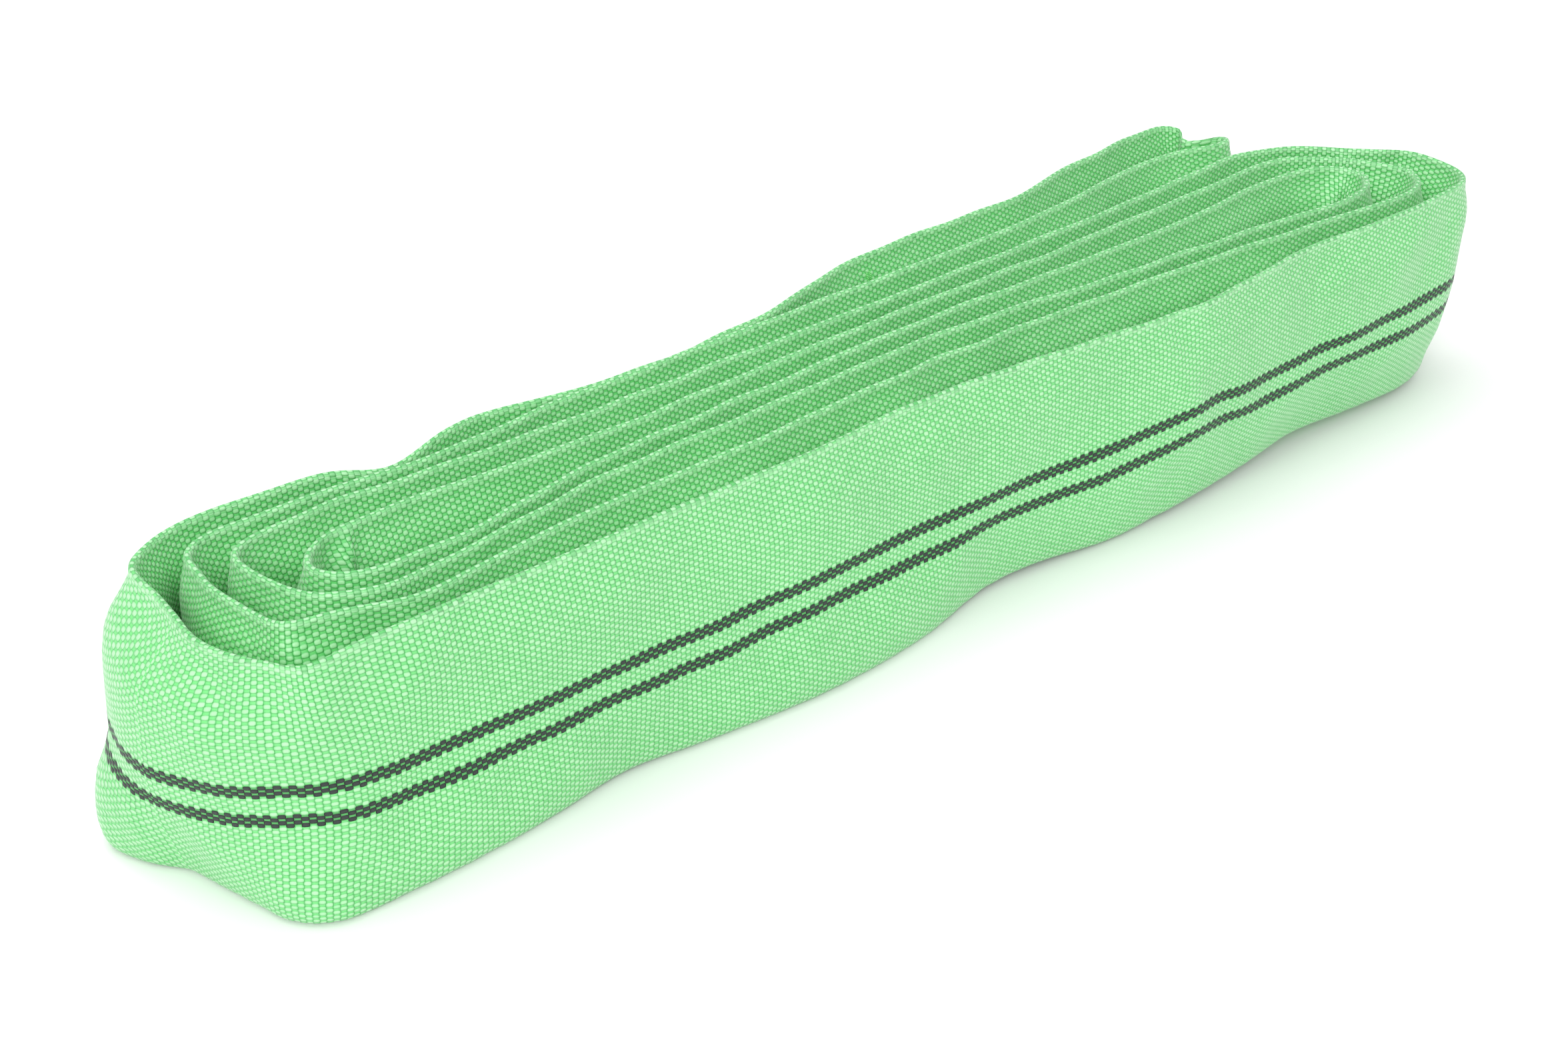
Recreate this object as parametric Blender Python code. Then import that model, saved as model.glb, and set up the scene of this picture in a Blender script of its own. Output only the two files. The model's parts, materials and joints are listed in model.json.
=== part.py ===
"""Endless round sling, two tonnes, rolled up flat and standing on the folded edge of its sleeve.

The sling is one closed loop. Laid double, it is rolled up into eight strands side by side, which run
along X. The sleeve is a flat woven tube on edge, so each strand is a tall lens in section, with its
yarn core inside. The outermost doubled stretch, the tail, opens about the fold at the left end.
Units are metres, +Z is up, and the origin is the middle of the footprint on the floor.
"""

import math

import bmesh
import bpy
import numpy as np

# The sling itself
CIRCUMFERENCE = 3.0
STRAND_HEIGHT = 0.0620
STRAND_THICKNESS = 0.0066
SLEEVE_WALL = 0.0011
GAP = 0.0003

# Section of a strand: half widths of its foot and its crest, and the band where it is thickest
FOOT_HALF = 0.0015
CREST_HALF = 0.0010
BELLY_LOW = 0.30 * STRAND_HEIGHT
BELLY_HIGH = 0.70 * STRAND_HEIGHT
EDGE_SOLID = 0.0022

# The joint where the sleeve's two ends are sewn together, and the label caught in it
SEAM_ROW_WIDTH = 0.0020
THREAD_THICKNESS = 0.0006
SEAM_EDGE_MARGIN = 0.0040
LABEL_LENGTH = 0.0580
LABEL_THICKNESS = 0.0009
LABEL_LOW = 0.0110
LABEL_HIGH = 0.0510
TAB_LENGTH = 0.0080
LABEL_STITCH_WIDTH = 0.0014
LABEL_STITCH_MARGIN = 0.0030

MILLIMETRE = 0.001
STEPS_PER_SPAN = 2

# The roll's plan, drawn in millimetres from the front left corner and then scaled to the
# circumference. Each entry is a stretch of the loop: its node, its body and the points it passes.
# Strand 1 is the front one and strand 8 the rear one.
ROLL_PLAN = (
    ("sleeve_strand_1", "roll", (
        (-5.7, 28), (-5.3, 19), (-3.6, 10.5), (1, 2.8), (9, -1.6), (25, -2), (60, -2), (100, -1.5),
        (130, -1.5), (160, 0.5), (200, -2), (225, -5), (250, -6.5), (275, -4.5), (295, -3), (320, -3.5),
    )),
    ("sleeve_bend_right_outer", "roll", (
        (345, -3), (357, 0), (364, 8), (364.5, 17), (358, 27), (348, 38), (338, 46),
    )),
    ("sleeve_strand_6", "roll", (
        (325, 49.5), (300, 48.5), (270, 45.7), (240, 45), (200, 44.8), (150, 44), (100, 43.2), (60, 43),
    )),
    ("sleeve_bend_left_middle", "roll", (
        (40, 43.3), (24, 42.6), (17, 39.5), (14.3, 32), (16, 22), (20.5, 15.5),
    )),
    ("sleeve_strand_3", "roll", (
        (30, 12.7), (45, 12.6), (60, 13.4), (80, 16.5), (100, 18.3), (140, 20), (170, 22.2), (200, 22),
        (240, 18.4), (270, 17), (300, 13.8), (320, 12),
    )),
    ("sleeve_bend_right_inner", "roll", (
        (333, 13), (339.5, 17), (341.5, 22), (337, 27.3),
    )),
    ("sleeve_strand_4", "roll", (
        (328, 30.5), (310, 31), (290, 29.8), (240, 29.2), (200, 29.6), (170, 29.4), (140, 27.7), (100, 25.7),
        (80, 23.8), (60, 20.7), (45, 19.9),
    )),
    ("sleeve_bend_left_inner", "roll", (
        (34, 19.9), (27, 21.9), (24.4, 27), (27, 32), (34, 35.2),
    )),
    ("sleeve_strand_5", "roll", (
        (45, 36), (60, 35.6), (80, 34.6), (100, 34.5), (150, 35.9), (200, 37.2), (240, 37), (270, 38.2),
        (300, 40), (322, 41.5),
    )),
    ("sleeve_bend_right_middle", "roll", (
        (334, 39.8), (343, 31.8), (349.5, 24), (353.5, 16), (351, 9),
    )),
    ("sleeve_strand_2", "roll", (
        (343, 5), (320, 4.2), (300, 6), (270, 9.3), (240, 11), (200, 13), (170, 13.5), (150, 11.5),
        (120, 9.2), (100, 9.3), (80, 8.2), (60, 6.2), (36, 5.2), (22, 6.2), (12, 9.8), (6.6, 18.5),
    )),
    ("sleeve_strand_7", "tail", (
        (5.3, 28), (6.0, 37.5), (8.8, 45.4), (15, 49.4), (26, 50.5), (40, 50.7), (60, 50.4), (80, 50.6),
        (100, 51.6), (130, 53.2), (160, 53.8), (200, 54), (240, 55), (270, 57.3), (290, 61),
    )),
    ("sleeve_bend_tail_end", "tail", (
        (305, 62.5), (320, 62.6), (330, 64), (334.5, 69), (333, 75), (326, 78.4),
    )),
    ("sleeve_strand_8", "tail", (
        (314, 78.5), (300, 76.5), (280, 72.5), (262, 69), (240, 67.8), (205, 66.3), (185, 63.7), (165, 61.2),
        (140, 60.6), (110, 59.3), (90, 58.4), (75, 58), (58, 58), (45, 58.3), (25, 58.8), (12, 58),
        (3, 55), (-3, 47.5), (-5.3, 37.5),
    )),
)
CORES = (("core_roll", "roll", 0, 11), ("core_tail", "tail", 11, 14))
SEAM_STRAND = 13
SEAM_POINT = 6

# Colours (linear) and roughness of each finish
SLEEVE_GREEN = ((0.28, 0.82, 0.26), 0.55)
CORE_WHITE = ((0.78, 0.76, 0.68), 0.75)
LABEL_BLUE = ((0.05, 0.16, 0.55), 0.50)
THREAD_GREEN = ((0.16, 0.60, 0.16), 0.60)


def clear_scene():
    for obj in list(bpy.data.objects):
        bpy.data.objects.remove(obj)


def fabric_material(name, finish):
    colour, roughness = finish
    material = bpy.data.materials.new(name)
    material.use_nodes = True
    shader = material.node_tree.nodes["Principled BSDF"]
    shader.inputs["Base Color"].default_value = (*colour, 1)
    shader.inputs["Roughness"].default_value = roughness
    shader.inputs["Metallic"].default_value = 0
    return material


def spline_point(before, start, end, after, t):
    """A point between start and end on the centripetal Catmull-Rom curve through the four points."""
    knots = [0.0]
    for a, b in ((before, start), (start, end), (end, after)):
        knots.append(knots[-1] + math.sqrt(np.linalg.norm(b - a)))
    at = knots[1] + t * (knots[2] - knots[1])

    def mix(p, q, low, high):
        return p + (q - p) * (at - low) / (high - low)

    first = mix(before, start, knots[0], knots[1])
    second = mix(start, end, knots[1], knots[2])
    third = mix(end, after, knots[2], knots[3])
    return mix(mix(first, second, knots[0], knots[2]), mix(second, third, knots[1], knots[3]), knots[1], knots[2])


def closed_spline(points, steps):
    """The closed curve through the points, with so many steps between one point and the next."""
    count = len(points)
    curve = []
    for i in range(count):
        around = [points[(i + k) % count] for k in (-1, 0, 1, 2)]
        curve += [spline_point(*around, step / steps) for step in range(steps)]
    return np.array(curve)


def closed_length(curve):
    return np.linalg.norm(np.roll(curve, -1, axis=0) - curve, axis=1).sum()


class Roll:
    """The loop's centre line in plan, with its normals, and where each stretch starts on it."""

    def __init__(self):
        drawn = np.array([point for _, _, points in ROLL_PLAN for point in points], float)
        curve = closed_spline(drawn, STEPS_PER_SPAN)
        curve *= CIRCUMFERENCE / closed_length(curve)
        self.points = curve - self.footprint_centre(curve)
        ahead = np.roll(self.points, -1, axis=0) - np.roll(self.points, 1, axis=0)
        self.tangents = ahead / np.linalg.norm(ahead, axis=1)[:, None]
        self.starts = [0]
        for _, _, points in ROLL_PLAN:
            self.starts.append(self.starts[-1] + STEPS_PER_SPAN * len(points))
        for cut in (self.starts[0], self.starts[11]):
            self.tangents[cut] = (0, math.copysign(1, self.tangents[cut][1]))

    @staticmethod
    def footprint_centre(curve):
        return (curve.min(axis=0) + curve.max(axis=0)) / 2

    def stations(self, first, last):
        """Points and unit tangents from the start of one stretch to the start of a later one, with each
        end drawn in by half the gap between pieces."""
        index = np.arange(self.starts[first], self.starts[last] + 1) % len(self.points)
        points = self.points[index].copy()
        tangents = self.tangents[index]
        points[0] += tangents[0] * GAP / 2
        points[-1] -= tangents[-1] * GAP / 2
        return points, tangents

    def seam_station(self, along):
        """The point, tangent and outward normal so far along from the sleeve's joint, towards +X."""
        index = self.starts[SEAM_STRAND] + STEPS_PER_SPAN * (SEAM_POINT - 1)
        while along > 0:
            ahead = self.points[index - 1] - self.points[index]
            length = np.linalg.norm(ahead)
            if along < length:
                break
            along -= length
            index -= 1
        ahead = self.points[index - 1] - self.points[index]
        tangent = ahead / np.linalg.norm(ahead)
        return self.points[index] + tangent * along, tangent, np.array((-tangent[1], tangent[0]))

    @property
    def hinge(self):
        """The tail's hinge: just clear of the roll's left end, level with the cut in its two bends."""
        cut = self.points[self.starts[0]]
        return np.array((cut[0] - STRAND_THICKNESS / 2 - GAP, cut[1]))


def lens_section(inset, edge_inset):
    """The strand's outline, as (half-width offset, height) pairs, drawn in from its outer faces."""
    belly = STRAND_THICKNESS / 2 - inset
    foot = max(FOOT_HALF - inset, FOOT_HALF / 4)
    crest = max(CREST_HALF - inset, CREST_HALF / 4)
    low, high = edge_inset, STRAND_HEIGHT - edge_inset
    right = [(foot, low), (belly, BELLY_LOW), (belly, BELLY_HIGH), (crest, high)]
    return right + [(-offset, height) for offset, height in reversed(right)]


def ring(bm, point, tangent, section):
    normal = np.array((-tangent[1], tangent[0]))
    corners = [(*(point + normal * offset), height) for offset, height in section]
    return [bm.verts.new(corner) for corner in corners]


def bridge(bm, first, second):
    """A band of quads between two rings with the same number of vertices."""
    count = len(first)
    for i in range(count):
        j = (i + 1) % count
        bm.faces.new((first[i], first[j], second[j], second[i]))


def finish_mesh(bm, name, material, origin):
    """An object from the mesh, with its origin moved to the given point and its faces turned outwards."""
    bmesh.ops.recalc_face_normals(bm, faces=bm.faces)
    bmesh.ops.translate(bm, verts=bm.verts, vec=-np.array((*origin, 0)))
    mesh = bpy.data.meshes.new(name)
    bm.to_mesh(mesh)
    bm.free()
    mesh.materials.append(material)
    mesh.shade_smooth()
    mesh.set_sharp_from_angle(angle=math.radians(40))
    obj = bpy.data.objects.new(name, mesh)
    bpy.context.scene.collection.objects.link(obj)
    return obj


def tube(name, stations, material, origin):
    """A hollow length of sleeve, open at both ends."""
    bm = bmesh.new()
    outer_section = lens_section(0, 0)
    inner_section = lens_section(SLEEVE_WALL, EDGE_SOLID)
    outer = [ring(bm, point, tangent, outer_section) for point, tangent in zip(*stations)]
    inner = [ring(bm, point, tangent, inner_section) for point, tangent in zip(*stations)]
    for skin in (outer, inner):
        for first, second in zip(skin, skin[1:]):
            bridge(bm, first, second)
    for end in (0, -1):
        bridge(bm, outer[end], inner[end])
    return finish_mesh(bm, name, material, origin)


def rod(name, stations, section, material, origin):
    """A solid length with the given section, closed at both ends."""
    bm = bmesh.new()
    rings = [ring(bm, point, tangent, section) for point, tangent in zip(*stations)]
    for first, second in zip(rings, rings[1:]):
        bridge(bm, first, second)
    bm.faces.new(rings[0])
    bm.faces.new(rings[-1])
    return finish_mesh(bm, name, material, origin)


def core_section():
    """The yarn bundle: the sleeve's bore less the gap, with its foot and crest drawn to an edge."""
    belly = STRAND_THICKNESS / 2 - SLEEVE_WALL - GAP
    edge = belly / 4
    low, high = 2 * EDGE_SOLID, STRAND_HEIGHT - 2 * EDGE_SOLID
    return [(edge, low), (belly, BELLY_LOW), (belly, BELLY_HIGH), (edge, high), (-belly, BELLY_HIGH), (-belly, BELLY_LOW)]


def patch(name, roll, along, heights, side, skin, material, origin):
    """A thin piece on one face of the sleeve's joint: along is its two ends, side is 1 for the outer face
    and -1 for the inner one, and skin gives the face it lies on and its outer face at each height."""
    bm = bmesh.new()
    rings = []
    middle = (along[0] + along[1]) / 2
    for distance in (along[0], middle, along[1]):
        point, tangent, normal = roll.seam_station(distance)
        near = [(side * skin(height)[0], height) for height in heights]
        far = [(side * skin(height)[1], height) for height in reversed(heights)]
        corners = [(*(point + normal * offset), height) for offset, height in near + far]
        rings.append([bm.verts.new(corner) for corner in corners])
    for first, second in zip(rings, rings[1:]):
        bridge(bm, first, second)
    bm.faces.new(rings[0])
    bm.faces.new(rings[-1])
    return finish_mesh(bm, name, material, origin)


def half_width(height):
    """The strand's half width at a height."""
    heights = (0, BELLY_LOW, BELLY_HIGH, STRAND_HEIGHT)
    belly = STRAND_THICKNESS / 2
    return float(np.interp(height, heights, (FOOT_HALF, belly, belly, CREST_HALF)))


def thread_skin(height):
    inner = half_width(height) + GAP
    return inner, inner + THREAD_THICKNESS


def label_skin(_height):
    inner = STRAND_THICKNESS / 2 + GAP
    return inner, inner + LABEL_THICKNESS


def label_thread_skin(_height):
    inner = STRAND_THICKNESS / 2 + GAP + LABEL_THICKNESS + GAP
    return inner, inner + THREAD_THICKNESS


def body_empty(name, plan_point, parent=None):
    """An empty on a joint's axis, which the body's pieces are parented to."""
    empty = bpy.data.objects.new(name, None)
    bpy.context.scene.collection.objects.link(empty)
    empty.parent = parent
    above = np.array((0.0, 0.0)) if parent is None else np.array(parent["plan"])
    empty.location = (*(plan_point - above), 0)
    empty["plan"] = [float(value) for value in plan_point]
    return empty


def build_sleeve(roll, bodies, material):
    for i, (name, body, _) in enumerate(ROLL_PLAN):
        origin = bodies[body]["plan"]
        tube(name, roll.stations(i, i + 1), material, origin).parent = bodies[body]


def build_core(roll, bodies, material):
    for name, body, first, last in CORES:
        origin = bodies[body]["plan"]
        rod(name, roll.stations(first, last), core_section(), material, origin).parent = bodies[body]


def build_joint_stitching(roll, tail, material):
    heights = (SEAM_EDGE_MARGIN, BELLY_LOW, BELLY_HIGH, STRAND_HEIGHT - SEAM_EDGE_MARGIN)
    for name, side in (("joint_stitching_rear", 1), ("joint_stitching_front", -1)):
        row = (-SEAM_ROW_WIDTH, 0)
        patch(name, roll, row, heights, side, thread_skin, material, tail["plan"]).parent = tail


def build_label(roll, tail, flap, label_material, thread_material):
    heights = (LABEL_LOW, LABEL_HIGH)
    tab = (GAP, GAP + TAB_LENGTH)
    patch("label_tab", roll, tab, heights, 1, label_skin, label_material, tail["plan"]).parent = tail
    middle = sum(tab) / 2
    row = (middle - LABEL_STITCH_WIDTH / 2, middle + LABEL_STITCH_WIDTH / 2)
    stitched = (LABEL_LOW + LABEL_STITCH_MARGIN, LABEL_HIGH - LABEL_STITCH_MARGIN)
    thread = patch("label_stitching", roll, row, stitched, 1, label_thread_skin, thread_material, tail["plan"])
    thread.parent = tail
    loose = (tab[1] + 2 * GAP, tab[1] + LABEL_LENGTH)
    patch("label", roll, loose, heights, 1, label_skin, label_material, flap["plan"]).parent = flap


def label_hinge(roll):
    """The label's fold: between its sewn tab and its loose flap, on their outer face."""
    point, _, normal = roll.seam_station(2 * GAP + TAB_LENGTH)
    return point + normal * label_skin(0)[1]


def main():
    clear_scene()
    roll = Roll()
    still = body_empty("roll", np.zeros(2))
    tail = body_empty("tail", roll.hinge)
    flap = body_empty("label_flap", label_hinge(roll), tail)
    bodies = {"roll": still, "tail": tail}
    build_sleeve(roll, bodies, fabric_material("woven_sleeve", SLEEVE_GREEN))
    build_core(roll, bodies, fabric_material("core_yarn", CORE_WHITE))
    thread = fabric_material("sewing_thread", THREAD_GREEN)
    build_joint_stitching(roll, tail, thread)
    build_label(roll, tail, flap, fabric_material("label_cloth", LABEL_BLUE), thread)
    bpy.context.view_layer.update()


main()
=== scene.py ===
"""Looks of an endless round sling: its woven sleeve, yarn core, sewn joint and label, rolled up flat.

Plan points are in the drawing's millimetres, from the roll's front left corner, as they are in the
frame's own drawing. Everything that is built is in metres, in the frame, with +Z up.
"""

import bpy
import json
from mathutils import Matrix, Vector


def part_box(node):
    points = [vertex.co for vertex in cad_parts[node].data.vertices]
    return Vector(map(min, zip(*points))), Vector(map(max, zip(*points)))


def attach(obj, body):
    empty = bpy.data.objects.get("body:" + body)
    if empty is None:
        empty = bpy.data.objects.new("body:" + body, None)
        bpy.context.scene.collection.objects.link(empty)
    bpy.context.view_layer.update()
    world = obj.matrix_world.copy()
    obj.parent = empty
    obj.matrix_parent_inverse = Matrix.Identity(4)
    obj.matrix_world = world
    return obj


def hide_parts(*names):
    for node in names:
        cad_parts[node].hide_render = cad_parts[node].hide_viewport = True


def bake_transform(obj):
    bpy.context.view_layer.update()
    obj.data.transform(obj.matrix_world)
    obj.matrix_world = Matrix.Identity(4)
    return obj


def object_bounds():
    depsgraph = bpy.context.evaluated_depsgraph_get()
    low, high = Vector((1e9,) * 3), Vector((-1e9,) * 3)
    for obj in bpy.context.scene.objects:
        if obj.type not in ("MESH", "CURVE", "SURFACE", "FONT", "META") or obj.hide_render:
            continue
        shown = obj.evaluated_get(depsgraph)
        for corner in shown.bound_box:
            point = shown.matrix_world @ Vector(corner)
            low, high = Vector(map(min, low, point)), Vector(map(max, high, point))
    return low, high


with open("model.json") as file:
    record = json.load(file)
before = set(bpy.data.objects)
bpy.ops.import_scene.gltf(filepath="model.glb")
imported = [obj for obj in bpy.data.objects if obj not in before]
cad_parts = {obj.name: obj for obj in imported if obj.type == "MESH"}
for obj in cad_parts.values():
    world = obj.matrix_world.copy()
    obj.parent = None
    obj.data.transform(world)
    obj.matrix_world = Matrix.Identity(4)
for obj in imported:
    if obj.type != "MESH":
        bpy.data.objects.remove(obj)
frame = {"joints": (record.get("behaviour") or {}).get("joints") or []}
CAD_BOX = [list(map(float, corner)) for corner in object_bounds()]

import json
import logging
import math
from dataclasses import dataclass, field
from enum import Enum

import bpy
import numpy as np

LOG = logging.getLogger("round_sling")
MM = 0.001
CLOTH_MAP = "cloth"
CREST_MAP = "crest"
LOOP_LENGTH = 3.0


class Body(Enum):
    """The bodies that pieces ride on."""

    ROLL = "roll"
    TAIL = "tail"
    LABEL = "label"


class Slot(Enum):
    """The record's material slots."""

    SLEEVE = "sleeve"
    CORE = "core"
    THREAD = "thread"
    LABEL = "label"


class Side(Enum):
    """A side of the sleeve, as seen when travelling along the sling."""

    RIGHT = -1.0
    LEFT = 1.0


# --------------------------------------------------------------------------- node trees


class Tree:
    """A material's node tree, with short calls that add nodes and join them."""

    def __init__(self, name: str) -> None:
        """Makes the material and keeps its shader.

        Args:
            name: the material's name.
        """
        self.material = bpy.data.materials.new(name)
        self.material.use_nodes = True
        self.tree = self.material.node_tree
        self.shader = self.tree.nodes["Principled BSDF"]

    def node(self, kind: str, **settings: object) -> bpy.types.Node:
        """Adds a node.

        Args:
            kind: the node's type.
            **settings: attributes set on it.

        Returns:
            The node.
        """
        made = self.tree.nodes.new(kind)
        for key, value in settings.items():
            setattr(made, key, value)
        return made

    def join(self, value: object, socket: bpy.types.NodeSocket) -> None:
        """Links a socket to another, or sets a plain value on it.

        Args:
            value: an output socket or a value.
            socket: the input.
        """
        if isinstance(value, bpy.types.NodeSocket):
            self.tree.links.new(value, socket)
        else:
            socket.default_value = value

    def math(self, operation: str, first: object, second: object = 0.0,
             third: object = 0.0) -> bpy.types.NodeSocket:
        """Adds a Math node.

        Args:
            operation: its operation.
            first: its first value or socket.
            second: its second value or socket.
            third: its third value or socket.

        Returns:
            Its output.
        """
        made = self.node("ShaderNodeMath", operation=operation)
        for value, socket in zip((first, second, third), made.inputs):
            self.join(value, socket)
        return made.outputs[0]

    def blend(self, share: object, low: object, high: object) -> bpy.types.NodeSocket:
        """Adds a colour Mix node, from low at share 0 to high at share 1.

        Args:
            share: the factor.
            low: the first colour.
            high: the second colour.

        Returns:
            The mixed colour.
        """
        made = self.node("ShaderNodeMix", data_type="RGBA")
        self.join(share, made.inputs[0])
        self.join(low, made.inputs[6])
        self.join(high, made.inputs[7])
        return made.outputs[2]

    def step(self, value: object, low: float, high: float) -> bpy.types.NodeSocket:
        """Adds a smooth step of the value from 0 at low to 1 at high.

        Args:
            value: the value or socket.
            low: where it starts.
            high: where it ends.

        Returns:
            The step's output.
        """
        made = self.node("ShaderNodeMapRange", interpolation_type="SMOOTHSTEP")
        for given, key in ((value, "Value"), (low, "From Min"), (high, "From Max")):
            self.join(given, made.inputs[key])
        return made.outputs[0]

    def cloth_axes(self, layer_name: str = CLOTH_MAP) -> tuple:
        """Reads the cloth's own coordinates.

        Args:
            layer_name: which set of them.

        Returns:
            Sockets for metres along the cloth and metres across it.
        """
        layer = self.node("ShaderNodeUVMap", uv_map=layer_name)
        split = self.node("ShaderNodeSeparateXYZ")
        self.join(layer.outputs[0], split.inputs[0])
        return split.outputs[0], split.outputs[1]

    def noise(self, scale: float, detail: float = 2.0) -> bpy.types.NodeSocket:
        """Adds a noise in object space.

        Args:
            scale: its scale, per metre.
            detail: its octaves.

        Returns:
            Its value, from 0 to 1.
        """
        place = self.node("ShaderNodeTexCoord")
        made = self.node("ShaderNodeTexNoise")
        made.inputs["Scale"].default_value = scale
        made.inputs["Detail"].default_value = detail
        self.join(place.outputs["Object"], made.inputs["Vector"])
        return made.outputs[0]

    def cell_noise(self, first: object, second: object) -> bpy.types.NodeSocket:
        """Adds a random value for each pair of whole numbers.

        Args:
            first: the first number.
            second: the second number.

        Returns:
            The value, from 0 to 1.
        """
        pair = self.node("ShaderNodeCombineXYZ")
        self.join(first, pair.inputs[0])
        self.join(second, pair.inputs[1])
        made = self.node("ShaderNodeTexWhiteNoise", noise_dimensions="3D")
        self.join(pair.outputs[0], made.inputs["Vector"])
        return made.outputs[0]

    def bump(self, height: object, distance: float, under: object = None) -> bpy.types.NodeSocket:
        """Adds a Bump node.

        Args:
            height: the height's socket.
            distance: what a height of one stands for, in metres.
            under: the normal of another Bump that it lies on.

        Returns:
            The bumped normal.
        """
        made = self.node("ShaderNodeBump")
        made.inputs["Distance"].default_value = distance
        self.join(height, made.inputs["Height"])
        if under is not None:
            self.join(under, made.inputs["Normal"])
        return made.outputs[0]

    def dress(self, **values: object) -> bpy.types.Material:
        """Sets or links the shader's inputs, each named with _ for a space.

        Args:
            **values: a value or a socket for each input.

        Returns:
            The material.
        """
        for key, value in values.items():
            self.join(value, self.shader.inputs[key.replace("_", " ")])
        return self.material




@dataclass(frozen=True)
class WovenSleeve:
    """The sleeve's cloth: a plain weave whose warp floats lie along the sling, with two marker stripes.

    A pair named steps is where a colour starts and ends on the scale of how far a float stands up, which
    paints a highlight on the floats' crowns. The numbers named dent are short dents in the folded edge at the
    crest, darkened with painted shade, and those named ridge a band under the crest with a painted highlight.
    """

    pick: float = 1.262 * MM
    end: float = 0.765 * MM
    float_half_length: float = 0.58
    float_half_width: float = 0.76
    float_length_power: float = 3.2
    float_width_power: float = 2.4
    warp_edge: float = 0.12
    tone_share: float = 0.16
    height_share: float = 0.95
    green_steps: tuple = (0.42, 1.14)
    charcoal_steps: tuple = (0.50, 1.05)
    stripe_ends: int = 4
    upper_stripe: float = 31.5 * MM
    stripe_spacing: float = 7.8 * MM
    relief: float = 0.30 * MM
    weft_level: float = 0.40
    # Float colours: the first is a painted highlight on the crowns, the second the cloth's own green, the
    # third painted shade in the hollows between floats and in the dents at the crest; weft is the weft's own
    # green
    light: tuple = (0.420, 0.790, 0.430, 1)
    middle: tuple = (0.045, 0.520, 0.085, 1)
    hollow_shade: tuple = (0.025, 0.400, 0.060, 1)
    weft: tuple = (0.140, 0.640, 0.170, 1)
    charcoal: tuple = (0.012, 0.014, 0.014, 1)
    # The stripes' charcoal with a painted highlight, for the crowns of their floats
    charcoal_highlight: tuple = (0.034, 0.040, 0.040, 1)
    # A painted highlight for the band along the crest
    crest_highlight: tuple = (0.460, 0.820, 0.470, 1)
    stripe_weft_dark: float = 0.45
    dent_chance: tuple = (0.15, 0.45)
    dent_reach: float = 0.5 * MM
    dent_spread: float = 1.1 * MM
    # How far the dents at the crest are darkened with painted shade
    dent_shade: float = 0.55
    ridge_below: float = 1.2 * MM
    ridge_half: tuple = (0.3 * MM, 0.9 * MM)
    # How far the band under the crest is lightened with a painted highlight
    ridge_highlight: float = 0.35
    cloud_scale: float = 26.0
    cloud_depth: float = 0.05
    cloud_base: float = 0.955
    fuzz_scale: float = 2600.0
    fuzz_height: float = 0.03 * MM
    roughness: float = 0.42
    roughness_spread: float = 0.10
    sheen: float = 0.35
    sheen_roughness: float = 0.35
    specular: float = 1.0
    stripe_sheen_loss: float = 0.31
    stripe_specular_loss: float = 0.70

    def crest_dents_and_highlight(self, tree: Tree, column: object) -> tuple:
        """Masks at the crest: dents between the picks, which get painted shade, and a ridge, which gets a
        painted highlight.

        Args:
            tree: the material's tree.
            column: the pick's number.

        Returns:
            Sockets for the dents and for the ridge, each from 0 to 1.
        """
        _, below = tree.cloth_axes(CREST_MAP)
        chance = tree.cell_noise(tree.math("FLOOR", tree.math("DIVIDE", column, 2.0)), 7.0)
        odd = tree.math("FLOORED_MODULO", column, 2.0)
        dent = tree.math("MULTIPLY", odd, tree.step(chance, *self.dent_chance))
        reach = tree.math("MULTIPLY_ADD", chance, self.dent_spread, self.dent_reach)
        past = tree.step(tree.math("SUBTRACT", below, reach), -0.3 * MM, 0.2 * MM)
        near = tree.math("SUBTRACT", 1.0, past)
        off = tree.math("ABSOLUTE", tree.math("SUBTRACT", below, self.ridge_below))
        ridge = tree.math("SUBTRACT", 1.0, tree.step(off, *self.ridge_half))
        return tree.math("MULTIPLY", dent, near), ridge

    def floats(self, tree: Tree, along: object, across: object, phase: int) -> tuple:
        """One of the two sets of warp floats, which together fill the weave like bricks.

        Args:
            tree: the material's tree.
            along: picks along the cloth.
            across: ends across the cloth.
            phase: 0 or 1, which set.

        Returns:
            Sockets for the floats' height and the end that each one belongs to.
        """
        shifted = tree.math("DIVIDE", tree.math("SUBTRACT", along, float(phase)), 2.0)
        column = tree.math("ROUND", shifted)
        off_along = tree.math("ABSOLUTE", tree.math("SUBTRACT", shifted, column))
        shifted = tree.math("DIVIDE", tree.math("SUBTRACT", across, float(phase)), 2.0)
        row = tree.math("ROUND", shifted)
        off_across = tree.math("ABSOLUTE", tree.math("SUBTRACT", shifted, row))
        length = tree.math("MULTIPLY", off_along, 2 / self.float_half_length)
        length = tree.math("POWER", length, self.float_length_power)
        width = tree.math("MULTIPLY", off_across, 2 / self.float_half_width)
        width = tree.math("POWER", width, self.float_width_power)
        rest = tree.math("SUBTRACT", 1.0, tree.math("ADD", length, width))
        height = tree.math("SQRT", tree.math("MAXIMUM", rest, 0.0))
        end = tree.math("MULTIPLY_ADD", row, 2.0, float(phase))
        return height, end

    def stripe(self, tree: Tree, end: object, centre: float) -> bpy.types.NodeSocket:
        """Whether an end belongs to a stripe of four ends.

        Args:
            tree: the material's tree.
            end: the end's number.
            centre: the stripe's middle, in metres across the cloth.

        Returns:
            A socket that is 1 in the stripe and 0 out of it.
        """
        middle = math.floor(centre / self.end) + 0.5
        off = tree.math("ABSOLUTE", tree.math("SUBTRACT", end, middle))
        return tree.math("LESS_THAN", off, self.stripe_ends / 2)

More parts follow.
